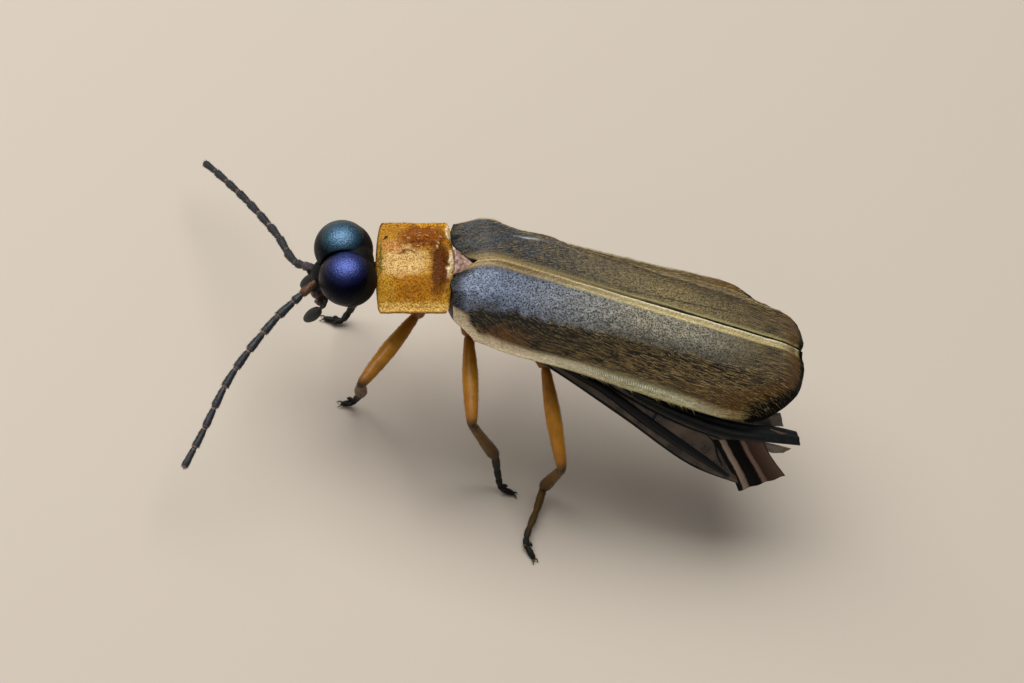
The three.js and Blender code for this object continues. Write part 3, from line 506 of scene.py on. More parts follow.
def wing_case_finish(name, slate_sheen_reach, margin_mm, flecks, seam_front, seam_rear_and_gap_shadow):
    """Leathery wing case; the reach after its name is the share of its length that the painted
    slate-blue sheen of the shoulder takes.
    """
    material, add, shader = finish_of(name, "#4a4232", 0.5, Specular_IOR_Level=0.35)
    lay = add("ShaderNodeUVMap", uv_map="lay")
    along = lay_of(add)[0]
    crest, edge, tip, pale, dark = [add("ShaderNodeAttribute", out="Fac", attribute_name=key)
                                    for key in ("crest", "edge", "tip", "pale", "dark")]
    drift = add(MATH, grain(add, 0.25, 5.0), 0.5, operation="SUBTRACT")
    out = add(MATH, drift, 0.12, crest, operation="MULTIPLY_ADD")
    backwards = add(RAMP, along, stops=[(slate_sheen_reach * 0.25, 0.0), (slate_sheen_reach, 1.0)])

    # the ground colours, front and rear, and an orange patch where the side is thin; the top is lighter
    # and the side darker below the crest, partly its own brown and partly painted shade, and the slate
    # blue of the front top is a painted sheen
    front = add(RAMP, out, stops=[
        (0.1, "#0f1012"), (0.25, "#181c23"), (0.45, "#1f2631"), (0.49, "#070606"), (0.58, "#0c0806"),
        (0.64, "#3a2410"), (0.7, "#241809"), (0.8, "#3a2a14")])
    rear = add(RAMP, out, stops=[
        (0.1, "#3a3424"), (0.3, "#342c1c"), (0.42, "#2c2313"), (0.54, "#191209"), (0.66, "#211709"),
        (0.8, "#463618")])
    orange = overlap(add, add(RAMP, out, stops=[(0.53, 0.0), (0.57, 1.0), (0.62, 1.0), (0.67, 0.0)]),
                     add(RAMP, along, stops=[(0.03, 0.0), (0.08, 1.0), (0.17, 0.9), (0.24, 0.0)]))

    # pale flecks between the pits of the top, tinted slate blue and silver on the left case as a
    # painted sheen, and gold streaks down the side and over the tip
    pits = cells(add, 0.043)
    reach = add(MIX, backwards,
                add(RAMP, out, stops=[(0.05, 0.1), (0.14, 0.8), (0.44, 1.0), (0.49, 0.0)]),
                add(RAMP, out, stops=[(0.04, 1.0), (0.28, 0.9), (0.52, 0.0)]), **OVER)
    fleck = overlap(add, reach,
                    add(RAMP, along, stops=[(0.008, 0.0), (0.03, 1.0), (0.62, 0.92), (0.88, 0.0)]),
                    add(RAMP, grain(add, 0.12, 4.0), stops=[(0.3, 0.55), (0.6, 1.0)]),
                    add(RAMP, pits, stops=[(0.25, 0.0), (0.55, 1.0)]))
    stretched = add(VECTOR, lay, (22.0, 95.0, 0.0), operation="MULTIPLY")
    streak = add("ShaderNodeTexNoise", Vector=stretched, Scale=1.0, Detail=4.0)
    side = add(MIX, backwards, add(RAMP, out, stops=[(0.57, 0.0), (0.64, 0.7)]),
               add(RAMP, out, stops=[(0.42, 0.0), (0.6, 0.9)]), **OVER)
    lower = add(MATH, side, add(RAMP, along, stops=[(0.7, 0.0), (0.86, 0.8)]), operation="MAXIMUM")
    gold = overlap(add, add(RAMP, streak, stops=[(0.46, 0.0), (0.6, 1.0)]), lower)

    # the cream seam, which on the right case turns black towards the rear as a painted shadow in the
    # gap between the cases, and the outer edge with its row of fine pearly beads
    seam_stops = [(0.0, seam_rear_and_gap_shadow[0]), (0.028, seam_rear_and_gap_shadow[0]), (0.042, seam_rear_and_gap_shadow[1])]
    seam = add(MIX, backwards, add(RAMP, crest, stops=[(0.0, seam_front[0]), (0.03, seam_front[1])]),
               add(RAMP, crest, stops=seam_stops), **OVER)
    shoulder = add(RAMP, along, stops=[(0.04, 0.0), (0.1, 1.0), (0.35, 0.0)])
    wider = add(MATH, shoulder, 0.4 * margin_mm, margin_mm, operation="MULTIPLY_ADD")
    rim = add(MATH, edge, wider, operation="DIVIDE")
    margin = overlap(add, add(RAMP, rim, stops=[(0.15, 1.0), (0.7, 0.85), (1.0, 0.0)]),
                     add(RAMP, along, stops=[(0.88, 1.0), (0.96, 0.0)]))
    cream = add(RAMP, along, stops=[(0.1, "#f6deb6"), (0.5, "#a89e74")])
    turns = add(MATH, along, 9 * 2 * math.pi / BEAD_SPACING_MM, operation="MULTIPLY")
    wave = add(MATH, turns, operation="SINE")
    beads = overlap(add, add(MATH, wave, 0.0, operation="MAXIMUM"),
                    add(RAMP, rim, stops=[(0.3, 0.0), (0.38, 0.9), (0.48, 0.9), (0.58, 0.0)]),
                    add(RAMP, along, stops=[(0.2, 0.0), (0.3, 1.0), (0.8, 1.0), (0.9, 0.0)]))

    colour = layered(
        add, add(MIX, backwards, front, rear, **OVER),
        (orange, "#7c4a14"),
        (fleck, add(MIX, backwards, *flecks, **OVER)),
        (gold, "#957a48"),
        # painted shadow on the front face, which rolls down away from the light
        (add(RAMP, along, stops=[(0.008, 0.95), (0.03, 0.0)]), "#0a0a0b"),
        (add(RAMP, crest, stops=[(0.055, 1.0), (0.1, 0.0)]), seam),
        (margin, cream),
        (beads, "#e0e6dc"),
        (add(RAMP, tip, stops=[(0.14, 0.0), (0.26, 0.75), (0.7, 0.0)]), "#6a4824"),
        (add(RAMP, tip, stops=[(0.09, 1.0), (0.2, 0.0)]), "#060504"),
        # painted highlight along a wrinkle and painted shade along a groove, on the right case
        (pale, "#c4c6c4"),
        (dark, "#0b0906"),
    )
    speck = add(RAMP, grain(add, 0.03), stops=[(0.35, 0.6), (0.6, 1.0)])
    relief = add(MATH, overlap(add, streak, lower), 1.5, pits, operation="MULTIPLY_ADD")
    shine = add(RAMP, tip, stops=[(0.2, 0.04), (0.5, 0.35)])
    painted(add, shader, add(MIX, 1.0, colour, speck, **SHADE), relief, 0.012, shine)
    return material


# lit and shaded copies of one finish: the left case has a painted slate-blue sheen on its shoulder, the
# right case a browner top with painted shade and highlight
WING_CASE = {
    -1: wing_case_finish("slate_shouldered_wing_case", 0.5, 0.4, ("#a0aec8", "#c6bc9e"),
                         ("#e0c284", "#a89064"), ("#fff0be", "#ecd698")),
    1: wing_case_finish("olive_wing_case", 0.6, 0.09, ("#4c5056", "#b09a68"),
                        # the right case's rear seam starts black: painted shadow in the gap between the
                        # cases
                        ("#b89a62", "#857450"), ("#0c0a07", "#a89a64")),
}
print("made", [finish.name for finish in WING_CASE.values()])

# %% [markdown]
# ### Wing film
# The flying wing is a smoky film, thin enough to see through, with dark pigment where it is folded
# double.


# %% Wing films
FILM = speckled("smoky_wing_film", "#241a12", "#604d39", 0.4, 0.36, 0.006, Alpha=0.82)
FOLD = speckled("dark_folded_film", "#040505", "#141715", 0.2, 0.5, 0.015, Specular_IOR_Level=0.3)
FLAP = speckled("pinkish_film_edge", "#4c3d32", "#72604f", 0.3, 0.35, 0.006, Alpha=0.85)


def fan_finish():
    """Striped folded film, the stripes running from its root to its rim."""
    material, add, shader = finish_of("striped_fan_film", "#4d3a2e", 0.5, Specular_IOR_Level=0.08)
    noise = grain(add, 0.12)
    drift = add(MATH, noise, 0.5, operation="SUBTRACT")
    shaken = add(MATH, drift, 0.04, lay_of(add)[1], operation="MULTIPLY_ADD")
    tone = add(RAMP, shaken, stops=[
        (0.0, "#0a0806"), (0.09, "#120e0b"), (0.12, "#a08874"), (0.22, "#84705f"), (0.26, "#050302"),
        (0.5, "#070403"), (0.555, "#7d6254"), (0.61, "#705648"), (0.64, "#3a2a20"), (0.84, "#4c392e"),
        (0.97, "#5e4a3e"), (1.0, "#0c0907")])
    painted(add, shader, tone, noise, 0.008)
    return material


FAN = fan_finish()
print("materials:", len(bpy.data.materials))

# %% [markdown]
# ## Hairs by Geometry Nodes
# Nearly every surface here carries short bristles that lie towards the tail or the tip of a limb.
# They could be particle hair, but that is lost in an export, so a Geometry Nodes tree scatters thin
# three-sided cones over a skin, leans each one along the skin's own lie direction and realizes them
# as a mesh. The tree also writes a small patch of the OFBake map for each hair, at the place of its
# root.


# %% Geometry Nodes helpers
NAMED, STORE = "GeometryNodeInputNamedAttribute", "GeometryNodeStoreNamedAttribute"


def new_tree(name, **kinds):
    """A new Geometry Nodes group with named inputs; returns it, its add and its inputs' sockets."""
    tree = bpy.data.node_groups.new(name, "GeometryNodeTree")
    for side in ("INPUT", "OUTPUT"):
        tree.interface.new_socket("Geometry", in_out=side, socket_type="NodeSocketGeometry")
    for key, kind in kinds.items():
        tree.interface.new_socket(key, in_out="INPUT", socket_type=f"NodeSocket{kind}")
    tree.nodes.new("NodeGroupInput")
    return tree, partial(add_node, tree), tree.nodes[0].outputs


def finished(tree, geometry, material):
    """Ends a tree with a real mesh in one material."""
    real = add_node(tree, "GeometryNodeRealizeInstances", geometry)
    coated = add_node(tree, "GeometryNodeSetMaterial", real, Material=material)
    add_node(tree, "NodeGroupOutput", coated)
    return tree


def settled(made):
    """Turns an object's modifiers into its plain mesh."""
    view = bpy.context.evaluated_depsgraph_get()
    mesh = bpy.data.meshes.new_from_object(made.evaluated_get(view), depsgraph=view)
    made.modifiers.clear()
    made.data = mesh
    return made


def run_tree(made, tree, **values):
    """Runs a tree on an object with its inputs set by identifier."""
    modifier = made.modifiers.new("tree", "NODES")
    modifier.node_group = tree
    for item in tree.interface.items_tree:
        if item.name in values:
            modifier[item.identifier] = values[item.name]
    return settled(made)


# %% The hair tree
HAIR_PATCH = 0.003


def hair_tree(material, weight):
    """Geometry Nodes group that covers a skin with leaning hairs, thickest where the weight is 1."""
    tree, add, given = new_tree("lying_hairs", Density="Float", Length="Float", Width="Float",
                                Lift="Float", Seed="Int")
    density = add(MATH, add(NAMED, weight), given["Density"], operation="MULTIPLY")
    spread = add("GeometryNodeDistributePointsOnFaces", Mesh=given["Geometry"], Density=density,
                 Seed=given["Seed"]).node.outputs
    ahead = add(VECTOR, add(NAMED, "lie", data_type="FLOAT_VECTOR"), operation="NORMALIZE")
    raised = add(VECTOR, spread["Normal"], given["Lift"], operation="SCALE")
    stray = add("FunctionNodeRandomValue", (-0.05, -0.05, -0.04), (0.05, 0.05, 0.04), Seed=7,
                data_type="FLOAT_VECTOR")
    lean = add(VECTOR, add(VECTOR, ahead, raised, operation="ADD"), stray, operation="ADD")
    turn = add("FunctionNodeAlignRotationToVector", Vector=lean, axis="Z")
    cone = add("GeometryNodeMeshCone", Vertices=3, Side_Segments=1, Radius_Top=0.0,
               Radius_Bottom=given["Width"], Depth=given["Length"]).node.outputs
    strand = add(STORE, cone["Mesh"], Name="strand", Value=cone["UV Map"], data_type="FLOAT_VECTOR",
                 domain="CORNER")
    size = add("FunctionNodeRandomValue", 0.6, 1.2, Seed=3, data_type="FLOAT")
    planted = add("GeometryNodeInstanceOnPoints", Points=spread["Points"], Instance=strand,
                  Rotation=turn, Scale=size)
    patch = add(VECTOR, add(NAMED, "strand", data_type="FLOAT_VECTOR"), (HAIR_PATCH, HAIR_PATCH, 0.0),
                add(NAMED, "lay", data_type="FLOAT_VECTOR"), operation="MULTIPLY_ADD")
    real = add("GeometryNodeRealizeInstances", planted)
    mapped = add(STORE, real, Name="OFBake", Value=patch, data_type="FLOAT2", domain="CORNER")
    return finished(tree, mapped, material)


def hairs(name, skin, slot, material, density, length, width, lift, seed, weight="coat"):
    """A piece of hairs over a skin; density in hairs per square millimetre, sizes in millimetres."""
    coat = bpy.data.objects.new(name, skin.data)
    bpy.context.scene.collection.objects.link(coat)
    run_tree(coat, hair_tree(material, weight), Density=density / MM**2, Length=length * MM,
             Width=width * MM, Lift=lift, Seed=seed)
    coat.data.name = name
    carried = [a.name for a in coat.data.attributes if not (a.is_required or a.is_internal)]
    for old in set(carried) - {"OFBake", "material_index"}:
        coat.data.attributes.remove(coat.data.attributes[old])
    return dress(coat, slot)


print("hair tree ready")

# %% [markdown]
# ## Eyes
# The two eyes are balls that fill most of the head and almost meet in a groove over it. Each is a
# fine ball whose inner side is pressed flat against the groove.

# %% Eyes
EYE_CENTRE = {"left": (0, -0.41, 0), "right": (-0.03, 0.38, 0)}
EYE_RADIUS = {"left": 0.61, "right": 0.615}
EYE_GROOVE = 0.035
EYE_FINISH = {"left": EYE_NEAR, "right": EYE_FAR}
SIDES = ((-1, "left"), (1, "right"))


def eye(word, side):
    """A ball whose inner side stops at the groove between the eyes."""
    shape = ball(EYE_CENTRE[word], (EYE_RADIUS[word],) * 3, 72, 48)
    points = shape["points"]
    points[:, 1] = side * np.maximum(side * points[:, 1], EYE_GROOVE / 2)
    return placed(HEAD, shape)


for side, word in SIDES:
    dress(piece(f"eye_dome_{word}", eye(word, side), EYE_FINISH[word]), "eye", f"eye_{word}")

# %% [markdown]
# ## Head capsule and mouth
# A dark capsule holds the eyes: it rims them behind, fills the dip between them, carries the
# feelers in front and runs back as a neck under the shield. Separate eggs would show seams, so they
# are joined and skinned over as one with a voxel remesh, then smoothed.


# %% Head capsule
def skinned(name, shape, material, voxel_mm=0.025, rounds=6):
    """One smooth skin over several overlapping shapes."""
    made = piece(name, shape, material)
    remesh = made.modifiers.new("skin", "REMESH")
    remesh.mode = "VOXEL"
    remesh.voxel_size = voxel_mm * MM
    relax = made.modifiers.new("relax", "SMOOTH")
    relax.factor = 0.5
    relax.iterations = rounds
    settled(made)
    made.data.polygons.foreach_set("use_smooth", np.ones(len(made.data.polygons), bool))
    return made


capsule = joined(
    ball((-0.02, 0, -0.32), (0.58, 0.42, 0.48)),
    ball((-0.38, 0, -0.46), (0.38, 0.4, 0.42)),
    ball((0.56, 0, -0.58), (0.5, 0.3, 0.24)),
    ball((0.06, -0.4, -0.06), (0.61, 0.61, 0.61)),
    ball((0.04, 0.37, -0.07), (0.61, 0.61, 0.61)),
    ball((0.22, 0, 0.02), (0.42, 0.4, 0.42)),
    ball((-0.72, -0.19, -0.54), (0.12, 0.13, 0.13)),
    ball((-0.72, 0.22, -0.55), (0.12, 0.13, 0.13)),
)
dress(skinned("head_capsule", placed(HEAD, capsule), HEAD_SHELL), "head_shell", "head")


# %% Mouth and palps
def jaw(side):
    """A curved jaw that ends in a point."""
    places = [(-0.55, side * 0.2, -1.0), (-0.68, side * 0.2, -1.16), (-0.66, side * 0.06, -1.3)]
    return tube(smooth_path(places, 14), 0.085 * (1 - 0.75 * np.linspace(0, 1, 14)), 12)


mouth = joined(
    ball((-0.5, 0, -0.92), (0.22, 0.27, 0.2)),
    ball((-0.66, -0.12, -0.84), (0.15, 0.2, 0.15)),
    ball((-0.6, -0.32, -1.02), (0.1, 0.08, 0.08)),
    jaw(-1), jaw(1),
)
dress(skinned("mouth_and_jaws", placed(HEAD, mouth), MOUTH_SHELL, 0.02, 4), "mouth", "mouthparts")
PALP_WIDTH = [(0, 0.04), (0.14, 0.06), (0.2, 0.042), (0.3, 0.06), (0.4, 0.042), (0.48, 0.1),
              (0.64, 0.135), (0.8, 0.125), (0.94, 0.075), (1, 0.015)]


def palp(side):
    places = [(-0.5, side * 0.2, -0.93), (-0.49, side * 0.38, -0.95), (-0.6, side * 0.43, -1.08),
              (-0.72, side * 0.44, -1.23), (-0.98, side * 0.44, -1.52)]
    return placed(HEAD, tube(smooth_path(places, 48), profile(PALP_WIDTH, np.linspace(0, 1, 48)), 18))


for side, word in SIDES:
    dress(piece(f"palp_chain_{word}", palp(side), PALP_SHELL), "mouth", f"palp_{word}")

# %% [markdown]
# ## Feelers by Geometry Nodes
# Each feeler has eleven segments: a stout first, a short second and nine alike, each a little wider
# at its far end, and a nap of fine bristles all over. A tree turns a bent line into a curve, works
# out how far each point lies within its segment, and sweeps a circle along it at the segment's
# width.

# %% Feeler tree
FEELER_RADIUS = 0.1
FEELER_SEGMENTS = 11
SEGMENT_STEPS = 14
SEGMENT_SHAPE = [(0.0, 0.5), (0.1, 0.76), (0.8, 1.0), (0.93, 0.92), (1.0, 0.5)]
SEGMENT_ENDS = [(0.0, 0.0), (0.09, 1 / 11), (0.135, 2 / 11), (1.0, 1.0)]


def segment_tree(material):
    """Geometry Nodes group that turns a line into a chain of segments."""
    tree, add, given = new_tree("segmented_feeler", Segments="Int", Radius="Float", Taper="Float")
    curve = add("GeometryNodeMeshToCurve", given["Geometry"])
    count = add(MATH, given["Segments"], SEGMENT_STEPS, operation="MULTIPLY")
    line = add("GeometryNodeResampleCurve", Curve=curve, Count=count)
    along = add("GeometryNodeSplineParameter")
    ends = add("ShaderNodeFloatCurve", Value=along, stops=SEGMENT_ENDS)
    inside = add(MATH, add(MATH, ends, given["Segments"], operation="MULTIPLY"), operation="FRACT")
    swell = add("ShaderNodeFloatCurve", Value=inside, stops=SEGMENT_SHAPE)
    taper = add("ShaderNodeMapRange", Value=along, To_Min=1.0, To_Max=given["Taper"])
    radius = overlap(add, swell, taper, given["Radius"])
    line = add(STORE, line, Name="in_segment", Value=inside)
    line = add(STORE, line, Name="along", Value=along)
    line = add(STORE, line, Name="lie", Value=add("GeometryNodeInputTangent"), data_type="FLOAT_VECTOR")
    ring = add("GeometryNodeCurvePrimitiveCircle", Resolution=16, Radius=1.0)
    ring = add(STORE, ring, Name="turn", Value=along)
    swept = add("GeometryNodeCurveToMesh", Curve=line, Profile_Curve=ring, Scale=radius, Fill_Caps=True)
    lay = add("ShaderNodeCombineXYZ", add(NAMED, "along"), add(NAMED, "turn"))
    mapped = add(STORE, swept, Name="lay", Value=lay, data_type="FLOAT2", domain="CORNER")
    return finished(tree, add(STORE, mapped, Name="coat", Value=1.0), material)


def feeler_finish(name, first):
    """Blue-black cuticle with a pale ring at each joint and a first segment of its own colour."""
    material, add, shader = finish_of(name, "#1d2127", 0.5)
    inside = add("ShaderNodeAttribute", out="Fac", attribute_name="in_segment")
    along = add("ShaderNodeAttribute", out="Fac", attribute_name="along")
    rest = add(RAMP, inside, stops=[(0.0, "#b08d78"), (0.05, "#6a5548"), (0.12, "#14171c"),
                                    (0.9, "#1f242b"), (1.0, "#a8846e")])
    base = add(RAMP, along, stops=[(0.08, 1.0), (0.1, 0.0)])
    painted(add, shader, layered(add, rest, (base, first)), grain(add, 0.03), 0.01)
    return material


# %% Feelers
def feeler(word, first, places):
    """One feeler swept along a smooth line through a few places in the body's frame."""
    path = moved(BODY, smooth_path(places, 60)) * MM
    mesh = bpy.data.meshes.new(f"feeler_{word}")
    mesh.from_pydata(path.tolist(), [(i, i + 1) for i in range(len(path) - 1)], [])
    made = bpy.data.objects.new(f"feeler_{word}", mesh)
    bpy.context.scene.collection.objects.link(made)
    tree = segment_tree(feeler_finish(f"blue_black_feeler_cuticle_{word}", first))
    run_tree(made, tree, Segments=FEELER_SEGMENTS, Radius=FEELER_RADIUS * MM, Taper=0.8)
    made.data.polygons.foreach_set("use_smooth", np.ones(len(made.data.polygons), bool))
    dress(made, "feeler", f"antenna_{word}")
    hairs(f"feeler_hairs_{word}", made, "feeler", HAIR_DARK, 700, 0.06, 0.004, 0.45, 31)


feeler("left", "#5e3514", [(-2.72, -0.2, 3.74), (-3.09, -0.6, 3.49), (-3.56, -1.16, 3.2),
                           (-4.28, -2.35, 2.65), (-4.75, -3.65, 2.12), (-5.02, -4.34, 1.82)])
feeler("right", "#463c40", [(-2.7, 0.1, 3.74), (-3.08, 0.52, 3.23), (-3.37, 1.37, 2.84),
                            (-3.89, 2.57, 2.18), (-4.4, 3.58, 1.55), (-4.65, 4.04, 1.23)])

# %% [markdown]
# ## Shield
# The pronotum is a plate with square corners and flat side margins. Its middle is domed, with a
# smooth swelling on the near side, a crumpled one on the far side and a groove between them. It is
# drawn as two grids, a few hundredths of a millimetre apart at the rim, and the first ring of the
# chest hangs below it.

# %% Relief helpers
def unit_grid(rows, columns):
    """Two grids of shares from 0 to 1, along and across a plate."""
    return np.meshgrid(np.linspace(0, 1, rows), np.linspace(0, 1, columns), indexing="ij")


def hump(value, middle, width):
    """A rounded hump of height 1."""
    return np.exp(-(((value - middle) / width) ** 2))


def rough(rows, columns, spread, seed):
    """Smooth random relief, mostly between -2 and 2; spread is how many grid steps a lump covers."""
    noise = np.random.default_rng(seed).normal(size=(rows, columns))
    blur = np.exp(-((np.arange(-2 * spread, 2 * spread + 1) / spread) ** 2))
    for axis in (0, 1):
        noise = np.apply_along_axis(np.convolve, axis, noise, blur, mode="same")
    return noise / noise.std()


# %% Shield and fore chest
SHIELD_LENGTH = 1.5
SHIELD_HALF_WIDTH = 1.17
SHIELD_CROWN = 0.3
SHIELD_CORNER = 0.04
SHIELD_EDGE = 0.07
SHIELD_MARGIN = 0.1


def shield_shape(rows=130, columns=170):
    """The shield as a plate: outline, domed height and a top and bottom that close at the rim."""
    u, s = unit_grid(rows, columns)
    across = np.abs(2 * s - 1)
    corner = SHIELD_CORNER * (np.maximum(0, across - 0.88) / 0.12) ** 2
    front = -SHIELD_LENGTH - 0.08 * (1 - across**2) + corner
    rear = 0.1 * (1 - across**2) - corner
    along = 1 - np.abs(2 * u - 1) ** 4
    domed = np.minimum(1, across / (1 - SHIELD_MARGIN))
    # the dome, a swelling on each side, the groove between them, the crease before the rear rim and
    # the rim's raised middle, then the crumpled part and the gentle unevenness of the whole plate
    height = SHIELD_CROWN * (1 - domed**2.4) * (0.45 + 0.55 * along)
    height += 0.05 * hump(u, 0.6, 0.24) * hump(s, 0.28, 0.1)
    height += 0.04 * hump(u, 0.62, 0.26) * hump(s, 0.72, 0.14)
    height -= 0.045 * hump(s, 0.5, 0.035) * along + 0.03 * hump(u, 0.9, 0.03) * (1 - across**4)
    height += 0.05 * hump(u, 0.985, 0.03) * hump(s, 0.6, 0.12)
    crumpled = hump(u, 0.55, 0.3) * hump(s, 0.76, 0.16)
    height += (0.002 + 0.016 * crumpled) * rough(rows, columns, 3, 4)
    height += 0.008 * rough(rows, columns, 8, 5)
    edge = np.minimum.reduce([u, 1 - u, s * 1.5, (1 - s) * 1.5])
    flap = 0.05 * hump(u, 1, 0.2) * hump(s, 0.5, 0.16)
    y = (2 * s - 1) * SHIELD_HALF_WIDTH + 0.01
    top = np.stack([front + (rear - front) * u + flap, y, height], -1)
    depth = SHIELD_EDGE * np.sqrt(np.clip(edge / 0.03, 0.05, 1)) + 0.1 * np.clip(edge - 0.1, 0, 0.2)
    bottom = top - np.stack([0 * depth, 0 * depth, depth], -1)
    return placed(FORE, sheet(top, bottom, coat=0.2 + 0.8 * hump(s, 1, 0.08)))


def oval_rings(stations, count, sides, squareness):
    """Rings along X through stations of (x, half width, top, bottom)."""
    stations = np.array(stations, float)
    x = np.linspace(stations[0, 0], stations[-1, 0], count)
    width, top, bottom = [profile(stations[:, [0, k]], x) for k in (1, 2, 3)]
    angle = np.arange(sides) / sides * 2 * np.pi
    bend = 2 / squareness
    y = np.sign(np.cos(angle)) * np.abs(np.cos(angle)) ** bend * width[:, None]
    z = np.sign(np.sin(angle)) * np.abs(np.sin(angle)) ** bend * (top - bottom)[:, None] / 2
    return np.stack([np.repeat(x[:, None], sides, 1), y, z + (top + bottom)[:, None] / 2], -1)


FORE_CHEST = [(-1.42, 0.34, -0.06, -0.56), (-1.2, 0.56, 0.05, -0.84), (-0.8, 0.66, 0.08, -1.06),
              (-0.4, 0.68, 0.08, -1.06), (-0.12, 0.5, 0.02, -0.84)]
shield = dress(piece("shield_plate", shield_shape(), SHIELD), "shield", "pronotum")
hairs("shield_hairs", shield, "shield", HAIR_AMBER, 160, 0.1, 0.004, 0.4, 21)
dress(piece("fore_chest", placed(FORE, rings_body(oval_rings(FORE_CHEST, 40, 48, 2.2))), CHEST_SHELL),
      "underside")

# %% [markdown]
# ## Wing cases
# Each case is one long plate: flat on top, falling steeply at the side and spreading into a thin
# margin. Its height is a formula of where a point lies across the back, so the same functions give
# both sides. Finer relief is added on top: a bead along the seam, a crest where the top breaks off
# to the side, a shallow valley below it, faint ribs and the unevenness of leather. Hairs lie in
# rows along the side.

# %% Wing-case form
CASE_LENGTH = 8.58
CASE_THICKNESS = 0.08
CASE_HALF_WIDTH = [(0, 1.33), (1.3, 1.57), (3.2, 1.66), (5.2, 1.76), (6.4, 1.82), (7.1, 1.82),
                   (7.7, 1.7)]
CASE_FALL = [(0, 0.8), (1.1, 1.06), (3.2, 0.95), (5.2, 0.92), (7.1, 0.84), (8.6, 0.8)]
CASE_SQUARENESS = [(0, 6), (1.2, 5.2), (3, 4), (6, 3.4), (8.6, 3)]
CASE_BASE = [(0, 0.44), (0.2, 0.12), (0.42, -0.08), (0.62, -0.09), (0.76, 0.05), (0.88, 0.34),
             (1, 0.82)]
CREST = [(0, 1.2), (0.8, 1.2), (2, 1.12), (4.4, 1.0), (7.5, 0.92)]
FLARE_START = 0.86
FLARE_SHARE = 0.12
HAIR_ROW = 0.085


def roof_height(x, y):
    """Height of the wing-case roof, x along the back and y to the side."""
    share = np.abs(y) / profile(CASE_HALF_WIDTH, x)
    steep = np.minimum(share / FLARE_START, 1) ** profile(CASE_SQUARENESS, x)
    flare = np.maximum(share - FLARE_START, 0) / (1 - FLARE_START)
    shoulder = 0.3 * hump(share, 0.7, 0.22) * hump(x, 0.25, 0.85)
    front = -0.45 * hump(x, 0, 0.45)
    return front + shoulder - profile(CASE_FALL, x) * ((1 - FLARE_SHARE) * steep + FLARE_SHARE * flare)


def case_top(side, rows=300, columns=120):
    """The outer face of a case with its relief, and the marks that its colours and hairs need."""
    u, s = unit_grid(rows, columns)
    base = profile(CASE_BASE, s)
    # the rear end is rounded: it runs a little beyond the seam and then far forward at the side
    x = base + (CASE_LENGTH + 1.1 * s - 2 * s**2.2 - base) * u
    half = profile(CASE_HALF_WIDTH, x)
    seam = 0.004 + 0.022 * np.clip(1.6 * u - 0.5, 0, 1)
    y = seam + s * (half - seam)
    out = y / profile(CREST, x)
    begun = np.clip(u * 8, 0, 1)
    tip_roll = 0.38 * np.maximum(0, (u - 0.92) / 0.08) ** 2 * (0.3 + 0.7 * np.minimum(1, 3 * s))
    tip_roll *= 1 - 0.8 * s ** (4 - 2.5 * max(side, 0))
    front_roll = 0.12 * np.maximum(0, (0.06 - u) / 0.06) ** 2
    # the bead along the seam, with a groove beside it
    relief = (0.035 - 0.015 * side) * hump(y, 0.035, 0.04) - 0.02 * hump(y, 0.13, 0.05)
    # the crest and the valley below it
    relief += begun * (0.035 * hump(out, 1, 0.07) - 0.045 * hump(out, 1.27, 0.13))
    # the rolled outer edge, three faint ribs and the unevenness of leather
    relief += 0.02 * hump(half - y, 0.03, 0.03) - 0.015 * hump(half - y, 0.22, 0.05)
    relief += 0.007 * sum(hump(y, place, 0.05) for place in (0.35, 0.6, 0.85))
    grainy = rough(rows, columns, 9, 3 + side)
    relief += 0.007 * grainy + 0.003 * rough(rows, columns, 2, 8 + side)
    # the right case bulges behind its shoulder
    relief += 0.16 * max(side, 0) * hump(x, 2.2, 0.5) * hump(s, 0.85, 0.35)
    top = np.stack([x, side * y, roof_height(x, y) - tip_roll - front_roll + relief], -1)
    rows_of_hair = 0.5 + 0.5 * np.sin(2 * np.pi * y / HAIR_ROW + 2 * grainy)
    inwards, rearwards = [np.linalg.norm(np.diff(top, axis=axis), axis=-1) for axis in (1, 0)]
    edge = np.pad(np.cumsum(inwards[:, ::-1], axis=1)[:, ::-1], ((0, 0), (0, 1)))
    behind = np.pad(np.cumsum(rearwards, axis=0), ((1, 0), (0, 0)))
    edge = np.minimum(edge, behind + np.clip(5 - 6 * s, 0, 1))
    marks = {
        "crest": np.minimum(1, out / 2),
        "edge": edge,
        "tip": (1 - u) * 8 / (1 + 3 * hump(s, 0.82, 0.18)),
        # painted highlight along a wrinkle on the right case
        "pale": max(side, 0) * hump(s, 0.5 + 0.6 * (u - 0.19), 0.014) * hump(u, 0.19, 0.035),
        # painted shade along a groove on the right case
        "dark": max(side, 0) * hump(s, 0.11 + 0.39 * (u - 0.47), 0.01) * hump(u, 0.62, 0.2),
        "coat": np.clip((y - 0.1) * 8, 0, 1) * np.clip(8 - 8 * out, 0, 1) * np.clip(4 - 4.8 * u, 0, 1),
        "side_coat": (np.clip(8 * out - 7, 0, 1) * (0.3 + 0.7 * rows_of_hair)
                      * np.clip(30 - 30.5 * u, 0, 1) * np.clip(8 * edge, 0, 1)),
        "fringe_coat": (edge < 0.05) * np.clip(u * 5 - 0.6, 0, 1) * np.clip(14 - u * 17, 0, 1),
    }
    slope_along, slope_across = np.gradient(top, axis=0), np.gradient(top, axis=1)
    slope_along /= np.linalg.norm(slope_along, axis=-1)[..., None]
    slope_across /= np.linalg.norm(slope_across, axis=-1)[..., None]
    return top, slope_along + slope_across * (0.12 + 0.6 * hump(edge, 0, 0.08))[..., None], marks


